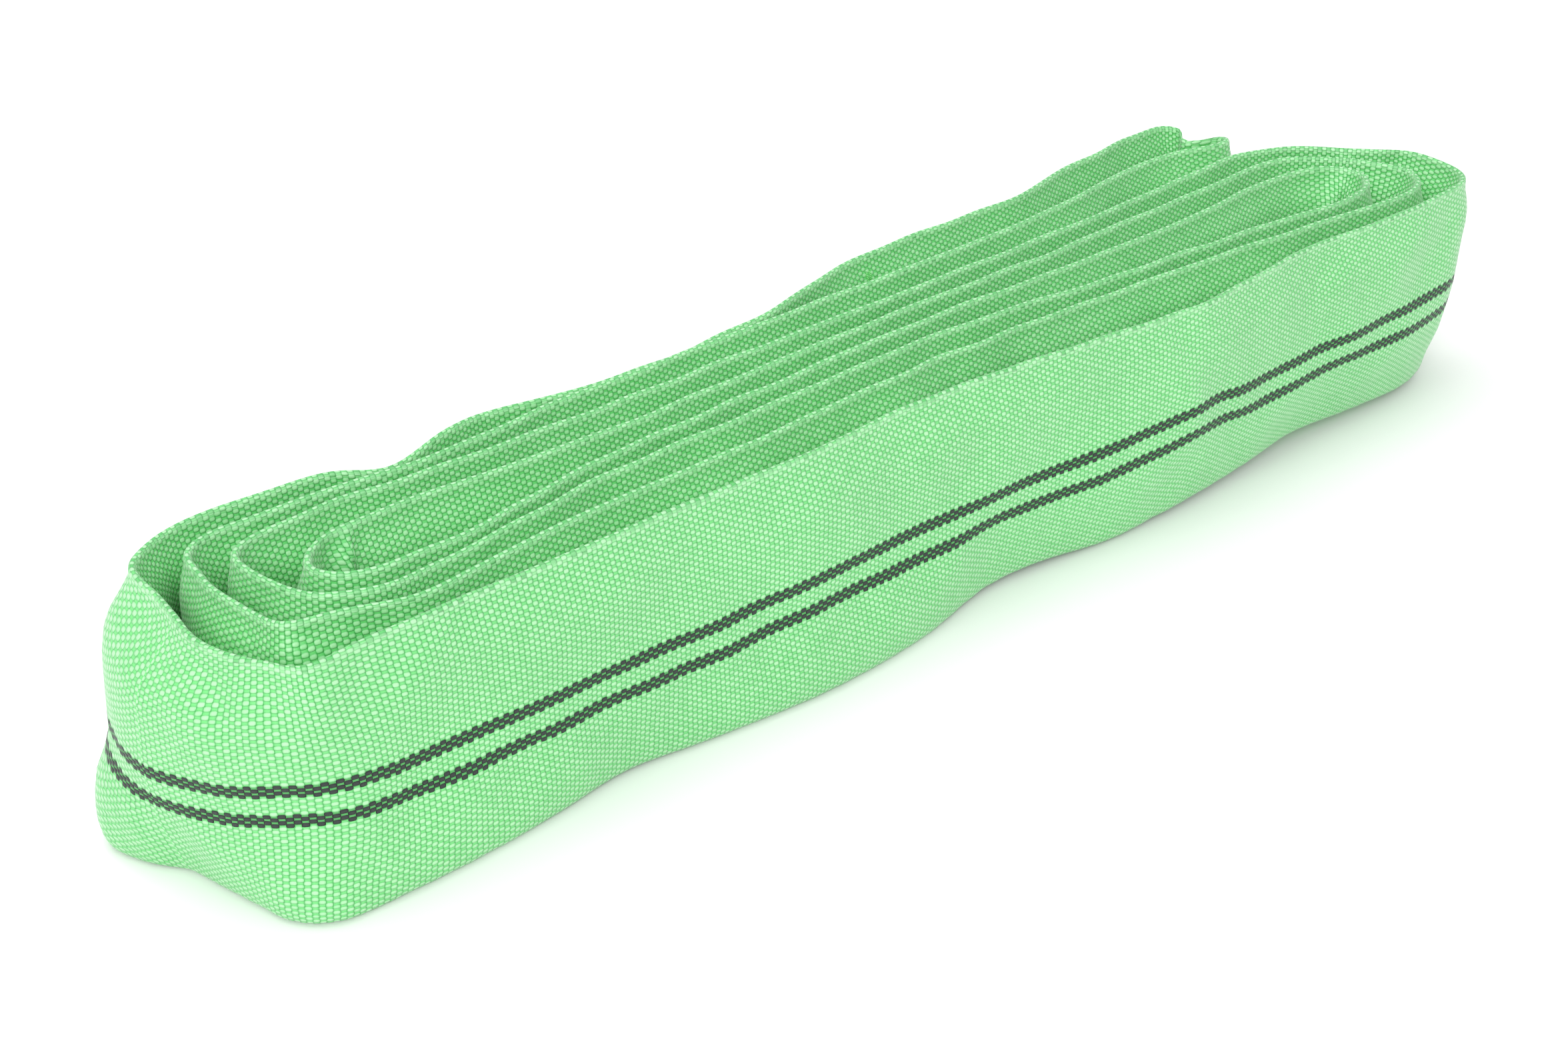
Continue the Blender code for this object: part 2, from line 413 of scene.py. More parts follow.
    def material(self) -> bpy.types.Material:
        """Builds the cloth.

        Returns:
            The material.
        """
        tree = Tree("woven_sleeve_cloth")
        metres_along, metres_across = tree.cloth_axes()
        along = tree.math("DIVIDE", metres_along, self.pick)
        across = tree.math("DIVIDE", metres_across, self.end)
        even, even_end = self.floats(tree, along, across, 0)
        odd, odd_end = self.floats(tree, along, across, 1)
        odd_wins = tree.math("GREATER_THAN", odd, even)
        warp = tree.math("MAXIMUM", even, odd)
        gap = tree.math("SUBTRACT", odd_end, even_end)
        end = tree.math("MULTIPLY_ADD", odd_wins, gap, even_end)

        column = tree.math("ROUND", along)
        off = tree.math("ABSOLUTE", tree.math("SUBTRACT", along, column))
        crown = tree.math("SUBTRACT", 1.0, tree.math("POWER", tree.math("MULTIPLY", off, 2.0), 2.0))
        weft = tree.math("MULTIPLY", tree.math("SQRT", tree.math("MAXIMUM", crown, 0.0)), self.weft_level)
        height = tree.math("MAXIMUM", warp, weft)
        notch, ridge = self.crest_dents_and_highlight(tree, column)
        height = tree.math("SUBTRACT", height, notch)
        on_warp = tree.step(tree.math("SUBTRACT", warp, weft), 0.0, self.warp_edge)

        upper = self.stripe(tree, end, self.upper_stripe)
        lower = self.stripe(tree, end, self.upper_stripe + self.stripe_spacing)
        striped = tree.math("MAXIMUM", upper, lower)

        tone = tree.cell_noise(column, end)
        # Besides a random tone, the floats' colour rises with their height: a painted highlight on their
        # crowns, on the green and on the charcoal
        lit = tree.math("MULTIPLY_ADD", tone, self.tone_share, tree.math("MULTIPLY", warp, self.height_share))
        green = tree.blend(tree.step(lit, *self.green_steps), self.middle, self.light)
        black = tree.blend(tree.step(lit, *self.charcoal_steps), self.charcoal, self.charcoal_highlight)
        warp_colour = tree.blend(striped, green, black)
        # The weft's colour falls to painted shade where it lies low between the floats
        weft_colour = tree.blend(tree.step(weft, 0.05, self.weft_level), self.hollow_shade, self.weft)
        darker = tree.math("MULTIPLY", striped, self.stripe_weft_dark)
        weft_colour = tree.blend(darker, weft_colour, self.charcoal)
        colour = tree.blend(on_warp, weft_colour, warp_colour)
        # Painted highlight along the band under the crest
        colour = tree.blend(tree.math("MULTIPLY", ridge, self.ridge_highlight), colour, self.crest_highlight)
        # Painted shade in the dents at the crest
        colour = tree.blend(tree.math("MULTIPLY", notch, self.dent_shade), colour, self.hollow_shade)
        clouds = tree.step(tree.noise(self.cloud_scale), 0.30, 0.70)
        shade = tree.math("MULTIPLY_ADD", clouds, self.cloud_depth, self.cloud_base)
        tint = tree.node("ShaderNodeVectorMath", operation="SCALE")
        tree.join(colour, tint.inputs[0])
        tree.join(shade, tint.inputs["Scale"])

        fuzz = tree.bump(tree.noise(self.fuzz_scale), self.fuzz_height)
        normal = tree.bump(height, self.relief, fuzz)
        rough = tree.math("MULTIPLY_ADD", tone, self.roughness_spread, self.roughness)
        return tree.dress(
            Base_Color=tint.outputs[0], Roughness=rough, Normal=normal,
            Sheen_Weight=tree.math("MULTIPLY_ADD", striped, -self.stripe_sheen_loss, self.sheen),
            Sheen_Roughness=self.sheen_roughness,
            Specular_IOR_Level=tree.math("MULTIPLY_ADD", striped, -self.stripe_specular_loss, self.specular),
        )


@dataclass(frozen=True)
class CoreYarn:
    """The core's yarn: off-white polyester, loosely twisted."""

    light: tuple = (0.80, 0.79, 0.74, 1)
    groove_shade: tuple = (0.55, 0.53, 0.46, 1)
    twist_along: float = 900.0
    twist_around: float = 40.0
    fibre_scale: float = 3000.0
    relief: float = 0.12 * MM

    def material(self) -> bpy.types.Material:
        """Builds the yarn, with its filaments along the twist.

        Returns:
            The material.
        """
        tree = Tree("core_yarn")
        along, around = tree.cloth_axes()
        turn = tree.math("MULTIPLY", around, self.twist_around)
        twist = tree.math("MULTIPLY_ADD", along, self.twist_along, turn)
        filaments = tree.math("MULTIPLY_ADD", tree.math("SINE", twist), 0.5, 0.5)
        fibre = tree.math("MULTIPLY", tree.noise(self.fibre_scale, 3.0), filaments)
        normal = tree.bump(tree.math("ADD", filaments, fibre), self.relief)
        # Painted shade: the yarn darkens in the grooves between the twist's strands, where its relief is low
        colour = tree.blend(tree.step(filaments, 0.0, 0.8), self.groove_shade, self.light)
        return tree.dress(Base_Color=colour, Roughness=0.62, Normal=normal, Sheen_Weight=0.2)


@dataclass(frozen=True)
class SewingThread:
    """Green sewing thread, two-ply."""

    light: tuple = (0.22, 0.74, 0.22, 1)
    groove_shade: tuple = (0.05, 0.36, 0.06, 1)
    twist: float = 5200.0
    relief: float = 0.10 * MM

    def material(self) -> bpy.types.Material:
        """Builds the thread, with its plies round it.

        Returns:
            The material.
        """
        tree = Tree("sewing_thread")
        along, around = tree.cloth_axes()
        turn = tree.math("MULTIPLY", around, 2 * math.pi)
        twist = tree.math("MULTIPLY_ADD", along, self.twist, turn)
        plies = tree.math("ABSOLUTE", tree.math("SINE", twist))
        # Painted shade in the groove between the plies, lighter on their crowns, following the relief
        colour = tree.blend(tree.step(plies, 0.1, 0.9), self.groove_shade, self.light)
        normal = tree.bump(plies, self.relief)
        return tree.dress(Base_Color=colour, Roughness=0.48, Normal=normal, Sheen_Weight=0.15)


@dataclass(frozen=True)
class LabelCloth:
    """The label's cloth: a fine blue taffeta, blank but for a plain woven border."""

    thread: float = 0.34 * MM
    border: float = 2.2 * MM
    border_width: float = 0.55 * MM
    width: float = 40.0 * MM
    blue: tuple = (0.030, 0.120, 0.520, 1)
    blue_highlight: tuple = (0.070, 0.210, 0.700, 1)
    white: tuple = (0.72, 0.76, 0.80, 1)
    relief: float = 0.06 * MM

    def material(self) -> bpy.types.Material:
        """Builds the label's cloth.

        Returns:
            The material.
        """
        tree = Tree("label_taffeta")
        along, across = tree.cloth_axes()
        waves = []
        for axis in (along, across):
            turn = tree.math("MULTIPLY", axis, math.pi / self.thread)
            waves.append(tree.math("ABSOLUTE", tree.math("SINE", turn)))
        weave = tree.math("MULTIPLY", waves[0], waves[1])
        from_edge = tree.math("MINIMUM", across, tree.math("SUBTRACT", self.width, across))
        off = tree.math("ABSOLUTE", tree.math("SUBTRACT", from_edge, self.border))
        line = tree.math("LESS_THAN", off, self.border_width / 2)
        # Painted highlight on the threads' crowns and painted shade where the weave lies low
        cloth = tree.blend(tree.step(weave, 0.1, 0.9), self.blue, self.blue_highlight)
        colour = tree.blend(line, cloth, self.white)
        normal = tree.bump(weave, self.relief)
        return tree.dress(Base_Color=colour, Roughness=0.46, Normal=normal, Sheen_Weight=0.10)


# --------------------------------------------------------------------------- the loop in plan


@dataclass(frozen=True)
class Post:
    """A point that the sling passes in the drawing's plan, and how its two folded edges differ there.

    x and y are the middle of the strand, crest and foot how far its upper and its lower folded edge stand
    off from it, drop how far the crest is below the full height, lift how far the foot is off the floor,
    proud how far the right-hand face swells out, and slip how far the cloth has slipped round the core,
    towards the crest on that face, all in the drawing's millimetres.
    """

    x: float
    y: float
    crest: tuple = (0.0, 0.0)
    foot: tuple = (0.0, 0.0)
    drop: float = 0.0
    lift: float = 0.0
    proud: float = 0.0
    slip: float = 0.0

    def row(self) -> list:
        """The post as one list of numbers."""
        return [self.x, self.y, *self.crest, *self.foot, self.drop, self.lift, self.proud, self.slip]


@dataclass(frozen=True)
class Stretch:
    """A stretch of the loop: its CAD node and its posts, in the order of travel."""

    node: str
    posts: tuple


LOOP = (
    Stretch("sleeve_strand_1", (
        Post(-5.7, 28, (0.6, 0), (-3.6, -0.5), proud=6.8, slip=-1.5),
        Post(-5.3, 19, (0.1, 0.6), (-1.6, 0), drop=0.6, proud=4.2, slip=-0.5),
        Post(-3.6, 10.5, (0.6, 1.0), (-0.6, -0.6), drop=1.0, proud=1.8, slip=1.2),
        Post(1, 2.8, (0.6, 1.4), (-2.6, -1.5), drop=1.2, proud=0.4, slip=3.0),
        Post(9, -1.6, (-2.6, -0.8), (-3.6, -3.0), drop=0.6, proud=0.6, slip=2.9),
        Post(25, -2, (0, 0), (-2.4, -3.8), proud=0.8, slip=0.9),
        Post(45, -2, (0, 0), (0, -3.2), proud=0.6, slip=0.6),
        Post(60, -2, (0, 0), (0, -1.8), lift=0.2, proud=0.6, slip=0.1),
        Post(76, -1.8, (0, 0), (0, -0.2), lift=0.5, proud=0.5),
        Post(100, -1.5, (0, 0), (0, -3.0), proud=0.9, slip=-0.3),
        Post(130, -1.5, (0, 0), (0, -5.4), proud=1.4, slip=0.2),
        Post(160, 0.5, (0, 0), (0, -5.2), proud=1.6, slip=-0.3),
        Post(185, -0.6, (0, 0), (0, 0.8), lift=1.2, proud=0.5, slip=-0.6),
        Post(200, -2, (0, 0), (0, 1.8), lift=1.6, proud=0.2, slip=-1.0),
        Post(225, -5, (0, 0.3), (0, 2.0), lift=0.4, proud=0.2, slip=0.9),
        Post(240, -6.1, (0, 0), (0, 2.6), lift=1.2, proud=0.2, slip=1.6),
        Post(247, -6.5, (0, -0.3), (0, 2.8), lift=1.6, proud=0.4, slip=2.2),
        Post(275, -4.5, (0, 0.5), (0, 2.2), lift=2.8, proud=0.6),
        Post(295, -3, (0, 1.0), (0, 2.0), lift=4.6, proud=0.8, slip=-0.8),
        Post(320, -3.5, (0, 0), (0, 2.2), lift=3.4, proud=0.8, slip=0.4),
    )),
    Stretch("sleeve_bend_right_outer", (
        Post(345, -3, (0, 0.2), (-2, 2.2), lift=2.4, proud=0.5, slip=1.2),
        Post(357, 0, (2.0, -1.0), (-3.0, 2.2), lift=2.2, proud=0.2, slip=1.6),
        Post(364, 8, (0.8, -1.6), (-4.2, 0), lift=2.4, slip=2.0),
        Post(364.5, 17, (0.9, 2.0), (-4.4, 0), lift=2.4, slip=1.6),
        Post(358, 27, (0.2, 1.2), (-2.6, -1.6), lift=1.2, slip=1.0),
        Post(348, 38, (0.4, 0.8), slip=0.5),
        Post(338, 46, (0.2, 0.6)),
    )),
    Stretch("sleeve_strand_6", (
        Post(325, 49.5, (1, 0.5)), Post(300, 48.5), Post(270, 45.7, (0, 0.8)), Post(240, 45, (0, 0.5)),
        Post(200, 44.8, (0, -0.3)), Post(150, 44), Post(100, 43.2, (0, 0.3)), Post(60, 43, (0, 1.5)),
    )),
    Stretch("sleeve_bend_left_middle", (
        Post(40, 43.3, (0, 2.4)), Post(24, 42.6, (-0.6, 2.2)), Post(17, 39.5, (-1.4, 1.6)),
        Post(14.3, 32, (-0.3, 1.6)), Post(16, 22, (0.3, 0.8)), Post(20.5, 15.5, (-0.2, 0.8)),
    )),
    Stretch("sleeve_strand_3", (
        Post(30, 12.7, (0, -0.7)), Post(45, 12.6, (-2, -0.8)), Post(60, 13.4, (0, 0.6)),
        Post(80, 16.5, (0, 1.2)), Post(100, 18.3, (0, 1.0)), Post(140, 20, (0, 0.8)), Post(170, 22.2),
        Post(200, 22), Post(240, 18.4, (0, -0.4)), Post(270, 17, (0, -0.9)), Post(300, 13.8),
        Post(320, 12, (0, -0.6)),
    )),
    Stretch("sleeve_bend_right_inner", (
        Post(333, 13, (1.5, -0.2)), Post(339.5, 17, (1.5, 0)), Post(341.5, 22, (1.5, 0)),
        Post(337, 27.3, (2.4, 0.9)),
    )),
    Stretch("sleeve_strand_4", (
        Post(328, 30.5, (0, 1.6)), Post(310, 31, (0, 1.6)), Post(290, 29.8, (0, 0.3)), Post(240, 29.2),
        Post(200, 29.6, (0, 0.4)), Post(170, 29.4), Post(140, 27.7), Post(100, 25.7, (0, -0.2)),
        Post(80, 23.8, (0, -0.8)), Post(60, 20.7, (0, -2.0)), Post(45, 19.9, (0, -2.2)),
    )),
    Stretch("sleeve_bend_left_inner", (
        Post(34, 19.9, (-1, -1.8)), Post(27, 21.9, (-1, -0.4)), Post(24.4, 27, (-0.6, -0.5)),
        Post(27, 32, (-0.5, -0.5)), Post(34, 35.2, (0, 0.4)),
    )),
    Stretch("sleeve_strand_5", (
        Post(45, 36, (0, 0.5)), Post(60, 35.6, (0, 0.4)), Post(80, 34.6, (0, 0.4)),
        Post(100, 34.5, (0, -0.4)), Post(150, 35.9), Post(200, 37.2, (0, 0.3)), Post(240, 37, (0, 0.5)),
        Post(270, 38.2, (0, 0.8)), Post(300, 40), Post(322, 41.5, (1, 0)),
    )),
    Stretch("sleeve_bend_right_middle", (
        Post(334, 39.8, (2, -0.4)), Post(343, 31.8, (2, 0.2)), Post(349.5, 24, (0, 1)),
        Post(353.5, 16, (0.5, -1.0)), Post(351, 9, (1.2, 0)),
    )),
    Stretch("sleeve_strand_2", (
        Post(343, 5, (2, -0.8)), Post(320, 4.2, (2, 0.6)), Post(300, 6, (0, 1)), Post(270, 9.3, (0, 0.2)),
        Post(240, 11, (0, 0.2)), Post(200, 13), Post(170, 13.5, (0, -0.5)), Post(150, 11.5, (0, 0.3)),
        Post(120, 9.2, (0, 0.8)), Post(100, 9.3, (0, 0.2)), Post(80, 8.2, (0, 0.8)), Post(60, 6.2, (0, 1)),
        Post(36, 5.2, (0, -0.6)), Post(22, 6.2, (-1, 2.3)), Post(12, 9.8, (-1.5, 2.2)),
        Post(6.6, 18.5, (0.6, 0)),
    )),
    Stretch("sleeve_strand_7", (
        Post(5.3, 28, (0.5, 0)), Post(6.0, 37.5, (-0.5, -1)), Post(8.8, 45.4, (-1.6, 1)),
        Post(15, 49.4, (-2, 0.6)), Post(26, 50.5, (-1, 0.3)), Post(40, 50.7, (0, 0.3)),
        Post(60, 50.4, (0, -1.4)), Post(80, 50.6, (0, -0.6)), Post(100, 51.6, (0, 0.4)),
        Post(130, 53.2, (0, -0.6)), Post(160, 53.8, (0, -0.4)), Post(200, 54), Post(240, 55),
        Post(270, 57.3, (0, 0.5)), Post(290, 61, (0, 0.5)),
    )),
    Stretch("sleeve_bend_tail_end", (
        Post(305, 62.5), Post(318, 62.2, (0, -0.6)), Post(327, 62.4, (1, -3)), Post(332.5, 64.5, (1.2, -5)),
        Post(334.5, 67.5, (-0.5, -4.9), drop=0.5), Post(335, 70, (-6.5, -4.2), drop=1.2),
        Post(334.6, 72.5, (-8.2, -3.5), drop=1.2), Post(333, 75.2, (-3.6, -2.5), drop=0.4),
        Post(328, 78, (-1, -1)),
    )),
    Stretch("sleeve_strand_8", (
        Post(314, 78.5, (0, -0.7)), Post(300, 76.5, (0, -0.5)), Post(280, 72.5, (0, 0.5)),
        Post(262, 69, (0, -0.5)), Post(240, 67.8), Post(205, 66.3, (0, 0.4)), Post(185, 63.7, (0, -1.2)),
        Post(165, 61.2, (0, -4.4)), Post(140, 60.6, (0, -5.6), drop=1.0),
        Post(110, 59.3, (0, -4.6), drop=0.8), Post(90, 58.4, (-2, -1.1)), Post(75, 58, (0, -1.3)),
        Post(58, 58, (0, -5.2), drop=1.5), Post(45, 58.3, (0, -1.8)), Post(25, 58.8, (0, -0.5)),
        Post(12, 58, (-1, -0.2), (-3, 1)), Post(3, 55, (0, -0.2), (-10, 1), proud=3.0),
        Post(-3, 47.5, (0, 1.5), (-14.5, -1.2), proud=6.4),
        Post(-5.3, 37.5, (1.3, -0.5), (-9.5, -2.2), proud=7.6, slip=-1.0),
    )),
)


@dataclass
class Loop:
    """The sling's closed centre line, cut into even stations, with its posts' other numbers along it."""

    spacing: float = 1.7 * MM
    substeps: int = 24
    strand_thickness: float = 6.6 * MM
    circumference: float = field(init=False)
    scale: float = field(init=False)
    centre: np.ndarray = field(init=False)
    plan: np.ndarray = field(init=False)
    crest: np.ndarray = field(init=False)
    foot: np.ndarray = field(init=False)
    drop: np.ndarray = field(init=False)
    lift: np.ndarray = field(init=False)
    proud: np.ndarray = field(init=False)
    slip: np.ndarray = field(init=False)
    bend: np.ndarray = field(init=False)
    normal: np.ndarray = field(init=False)
    starts: dict = field(init=False)

    def __post_init__(self) -> None:
        """Draws the spline, scales it to the frame and cuts it into stations."""
        rows = np.array([post.row() for stretch in LOOP for post in stretch.posts])
        curve, parameter = self.closed_spline(rows)
        low, high = curve[:, :2].min(axis=0), curve[:, :2].max(axis=0)
        self.scale = (CAD_BOX[1][0] - CAD_BOX[0][0] - self.strand_thickness) / (high[0] - low[0])
        self.centre = (low + high) / 2
        curve = curve * self.scale
        curve[:, :2] -= self.centre * self.scale
        closed = np.vstack([curve, curve[:1]])
        along = np.concatenate([[0], np.cumsum(np.linalg.norm(np.diff(closed[:, :2], axis=0), axis=1))])
        self.circumference = float(along[-1])
        count = round(self.circumference / self.spacing)
        self.spacing = self.circumference / count
        at = np.arange(count) * self.spacing
        even = np.column_stack([np.interp(at, along, column) for column in closed.T])
        self.plan, self.crest, self.foot = even[:, 0:2], even[:, 2:4], even[:, 4:6]
        self.drop, self.lift, self.proud, self.slip = even[:, 6], even[:, 7], even[:, 8], even[:, 9]
        ahead = np.roll(self.plan, -1, axis=0) - np.roll(self.plan, 1, axis=0)
        ahead /= np.linalg.norm(ahead, axis=1)[:, None]
        self.normal = np.column_stack([-ahead[:, 1], ahead[:, 0]])
        turned = np.roll(ahead, -1, axis=0) - np.roll(ahead, 1, axis=0)
        self.bend = smooth((turned * self.normal).sum(axis=1) / (2 * self.spacing), 3)
        post_along = np.interp(np.arange(len(rows)), parameter, along[:-1])
        self.starts, index = {}, 0
        for stretch in LOOP:
            self.starts[stretch.node] = int(round(post_along[index] / self.spacing))
            index += len(stretch.posts)

    def closed_spline(self, rows: np.ndarray) -> tuple:
        """The centripetal Catmull-Rom curve through the posts, with their other numbers carried along.

        Args:
            rows: one row a post, with its plan point first.

        Returns:
            The curve's rows and the post number at each of them.
        """
        count, curve, parameter = len(rows), [], []
        for i in range(count):
            before, start, end, after = (rows[(i + k) % count] for k in (-1, 0, 1, 2))
            knots = [0.0]
            for a, b in ((before, start), (start, end), (end, after)):
                knots.append(knots[-1] + math.sqrt(np.linalg.norm((b - a)[:2])))
            for step in range(self.substeps):
                at = knots[1] + step / self.substeps * (knots[2] - knots[1])

                def mix(p: np.ndarray, q: np.ndarray, low: float, high: float) -> np.ndarray:
                    """The point at the knot, between p at low and q at high."""
                    return p + (q - p) * (at - low) / (high - low)

                first = mix(before, start, knots[0], knots[1])
                second = mix(start, end, knots[1], knots[2])
                third = mix(end, after, knots[2], knots[3])
                first, second = mix(first, second, knots[0], knots[2]), mix(second, third, knots[1], knots[3])
                curve.append(mix(first, second, knots[1], knots[2]))
                parameter.append(i + step / self.substeps)
        return np.array(curve), np.array(parameter)

    def place(self, x: float, y: float) -> np.ndarray:
        """A point of the drawing, in the frame.

        Args:
            x: millimetres to the right.
            y: millimetres to the rear.

        Returns:
            The point in metres.
        """
        return (np.array([x, y]) - self.centre) * self.scale

    def span(self, first: str, last: str) -> np.ndarray:
        """The stations from one stretch's start to another's, both included.

        Args:
            first: the stretch that it starts with.
            last: the stretch before which it ends.

        Returns:
            The stations' numbers, which run past the last station rather than starting again.
        """
        start, end = self.starts[first], self.starts[last]
        return np.arange(start, (end if end > start else end + len(self.plan)) + 1)


def soft_waves(along: np.ndarray, across: np.ndarray, wave: float, seed: int) -> np.ndarray:
    """A smooth random swell over the cloth, the same on each run, that closes on itself round the loop.

    Args:
        along: each station's share of the loop, from 0 to 1, as a column.
        across: metres across the cloth, as a row.
        wave: the swell's typical length, in metres.
        seed: which swell.

    Returns:
        Heights of about -1 to 1, one row a station.
    """
    random = np.random.default_rng(seed)
    total = np.zeros((len(along), across.shape[-1]))
    terms = 14
    for _ in range(terms):
        turns = max(1, round(LOOP_LENGTH / wave * random.uniform(0.5, 1.6)))
        slope = random.normal(0, 1.2) / wave
        phase = random.uniform(0, 2 * math.pi)
        total += np.sin(2 * math.pi * (turns * along + slope * across) + phase)
    return total / math.sqrt(terms)


def smooth(values: np.ndarray, reach: int) -> np.ndarray:
    """A closed row of values evened out over its neighbours.

    Args:
        values: the values, one row a station.
        reach: stations on each side.

    Returns:
        The even values.
    """
    kernel = np.hanning(2 * reach + 3)[1:-1]
    kernel /= kernel.sum()
    total = np.zeros_like(values)
    for shift, weight in zip(range(-reach, reach + 1), kernel):
        total += weight * np.roll(values, shift, axis=0)
    return total


def narrowest(values: np.ndarray, reach: int) -> np.ndarray:
    """The least of each value's neighbours, on a row with two ends, so that nothing narrow is missed.

    Args:
        values: the values.
        reach: neighbours on each side.

    Returns:
        The least values.
    """
    padded = np.pad(values, reach, mode="edge")
    return np.min([padded[shift : shift + len(values)] for shift in range(2 * reach + 1)], axis=0)


def hinge_of(name: str) -> tuple:
    """Where a joint of the frame is.

    Args:
        name: the joint.

    Returns:
        Its point, in metres.
    """
    return next(tuple(map(float, joint["pos_m"])) for joint in frame["joints"] if joint["name"] == name)


def ease(value: np.ndarray, low: float, high: float) -> np.ndarray:
    """A smooth step from 0 at low to 1 at high."""
    t = np.clip((value - low) / (high - low), 0, 1)
    return t * t * (3 - 2 * t)


def grid_normals(grid: np.ndarray) -> np.ndarray:
    """Normals of a grid of points that closes on itself both ways.

    Args:
        grid: the points, by station and round the ring.

    Returns:
        Their unit normals.
    """
    along = np.roll(grid, -1, axis=0) - np.roll(grid, 1, axis=0)
    around = np.roll(grid, -1, axis=1) - np.roll(grid, 1, axis=1)
    normals = np.cross(along, around)
    return normals / np.maximum(np.linalg.norm(normals, axis=2), 1e-12)[:, :, None]


def mesh_object(name: str, points: np.ndarray, faces: list, layer: np.ndarray, material: bpy.types.Material,
                normals: np.ndarray = None, crest: np.ndarray = None) -> bpy.types.Object:
    """An object from arrays.

    Args:
        name: its name.
        points: its vertices.
        faces: its faces' vertex numbers.
        layer: the cloth's coordinates at each face corner.
        material: its finish.
        normals: a normal for each face corner, where the mesh needs its own.
        crest: metres along and metres from the crest at each face corner, where the finish asks for them.

    Returns:
        The object.
    """
    mesh = bpy.data.meshes.new(name)
    mesh.from_pydata(points.tolist(), [], faces)
    for layer_name, values in ((CLOTH_MAP, layer), (CREST_MAP, crest)):
        if values is not None:
            uv = mesh.uv_layers.new(name=layer_name)
            uv.data.foreach_set("uv", np.asarray(values, np.float32).ravel())
    mesh.materials.append(material)
    mesh.shade_smooth()
    if normals is not None:
        mesh.normals_split_custom_set(np.asarray(normals, float).tolist())
    mesh.update()
    made = bpy.data.objects.new(name, mesh)
    bpy.context.scene.collection.objects.link(made)
    return made


def tube_quads(rings: int, sides: int) -> list:
    """The quads of a tube, in order along it and round it.

    Args:
        rings: how many rings it has.
        sides: how many sides each has.

    Returns:
        For each quad, its corners' ring, side and side counted on past the last.
    """
    quads = []
    for k in range(rings - 1):
        for side in range(sides):
            after = (side + 1) % sides
            quad = (k, side, side), (k, after, side + 1), (k + 1, after, side + 1), (k + 1, side, side)
            quads.append(quad)
    return quads


# --------------------------------------------------------------------------- the sleeve


@dataclass(frozen=True)
class Run:
    """One length of the sleeve: its name, where it starts and ends, the nodes it stands for and its body."""

    name: str
    first: str
    end: str
    nodes: tuple
    blended: bool


RUNS = (
    Run("sleeve_cloth_1", "sleeve_strand_1", "sleeve_bend_right_outer", ("sleeve_strand_1",), True),
    Run("sleeve_cloth_6", "sleeve_bend_right_outer", "sleeve_bend_left_middle",
        ("sleeve_bend_right_outer", "sleeve_strand_6"), False),
    Run("sleeve_cloth_3", "sleeve_bend_left_middle", "sleeve_bend_right_inner",
        ("sleeve_bend_left_middle", "sleeve_strand_3"), False),
    Run("sleeve_cloth_4", "sleeve_bend_right_inner", "sleeve_bend_left_inner",
        ("sleeve_bend_right_inner", "sleeve_strand_4"), False),
    Run("sleeve_cloth_5", "sleeve_bend_left_inner", "sleeve_strand_2",
        ("sleeve_bend_left_inner", "sleeve_strand_5", "sleeve_bend_right_middle"), False),
    Run("sleeve_cloth_2", "sleeve_strand_2", "sleeve_strand_7", ("sleeve_strand_2",), True),
    Run("sleeve_cloth_7", "sleeve_strand_7", "sleeve_bend_tail_end", ("sleeve_strand_7",), True),
    Run("sleeve_cloth_8", "sleeve_bend_tail_end", "sleeve_strand_1",
        ("sleeve_bend_tail_end", "sleeve_strand_8"), True),
)

@dataclass(frozen=True)
class Fold:
    """A crease or a bulge in one face of the sleeve.

    x and y say where it is in the drawing, below how far its middle is under the crest, slope how far it runs
    along the sling for each millimetre down, along and down how far it reaches, and depth how far it stands
    out, all in the drawing's millimetres.
    """

    node: str
    side: Side
    x: float
    y: float
    below: float
    along: float
    down: float
    depth: float
    slope: float = 0.0

    def swell(self, loop: Loop, down: np.ndarray) -> np.ndarray:
        """How far the fold lifts the face.

        Args:
            loop: the loop that it is on.
            down: metres below the crest, one for each level.

        Returns:
            Metres, by station and level.
        """
        count = len(loop.plan)
        start = loop.starts[self.node]
        ends = sorted(loop.starts.values()) + [count + min(loop.starts.values())]
        end = next(value for value in ends if value > start)
        numbers = np.arange(start, end + 1) % count
        spot = loop.place(self.x, self.y)
        middle = numbers[np.hypot(*(loop.plan[numbers] - spot).T).argmin()]
        off = (np.arange(count) - middle + count / 2) % count - count / 2
        lower = down / MM - self.below
        off = (off * loop.spacing / MM)[:, None] - self.slope * lower[None]
        return self.depth * MM * np.exp(-((off / self.along) ** 2) - (lower[None] / self.down) ** 2)


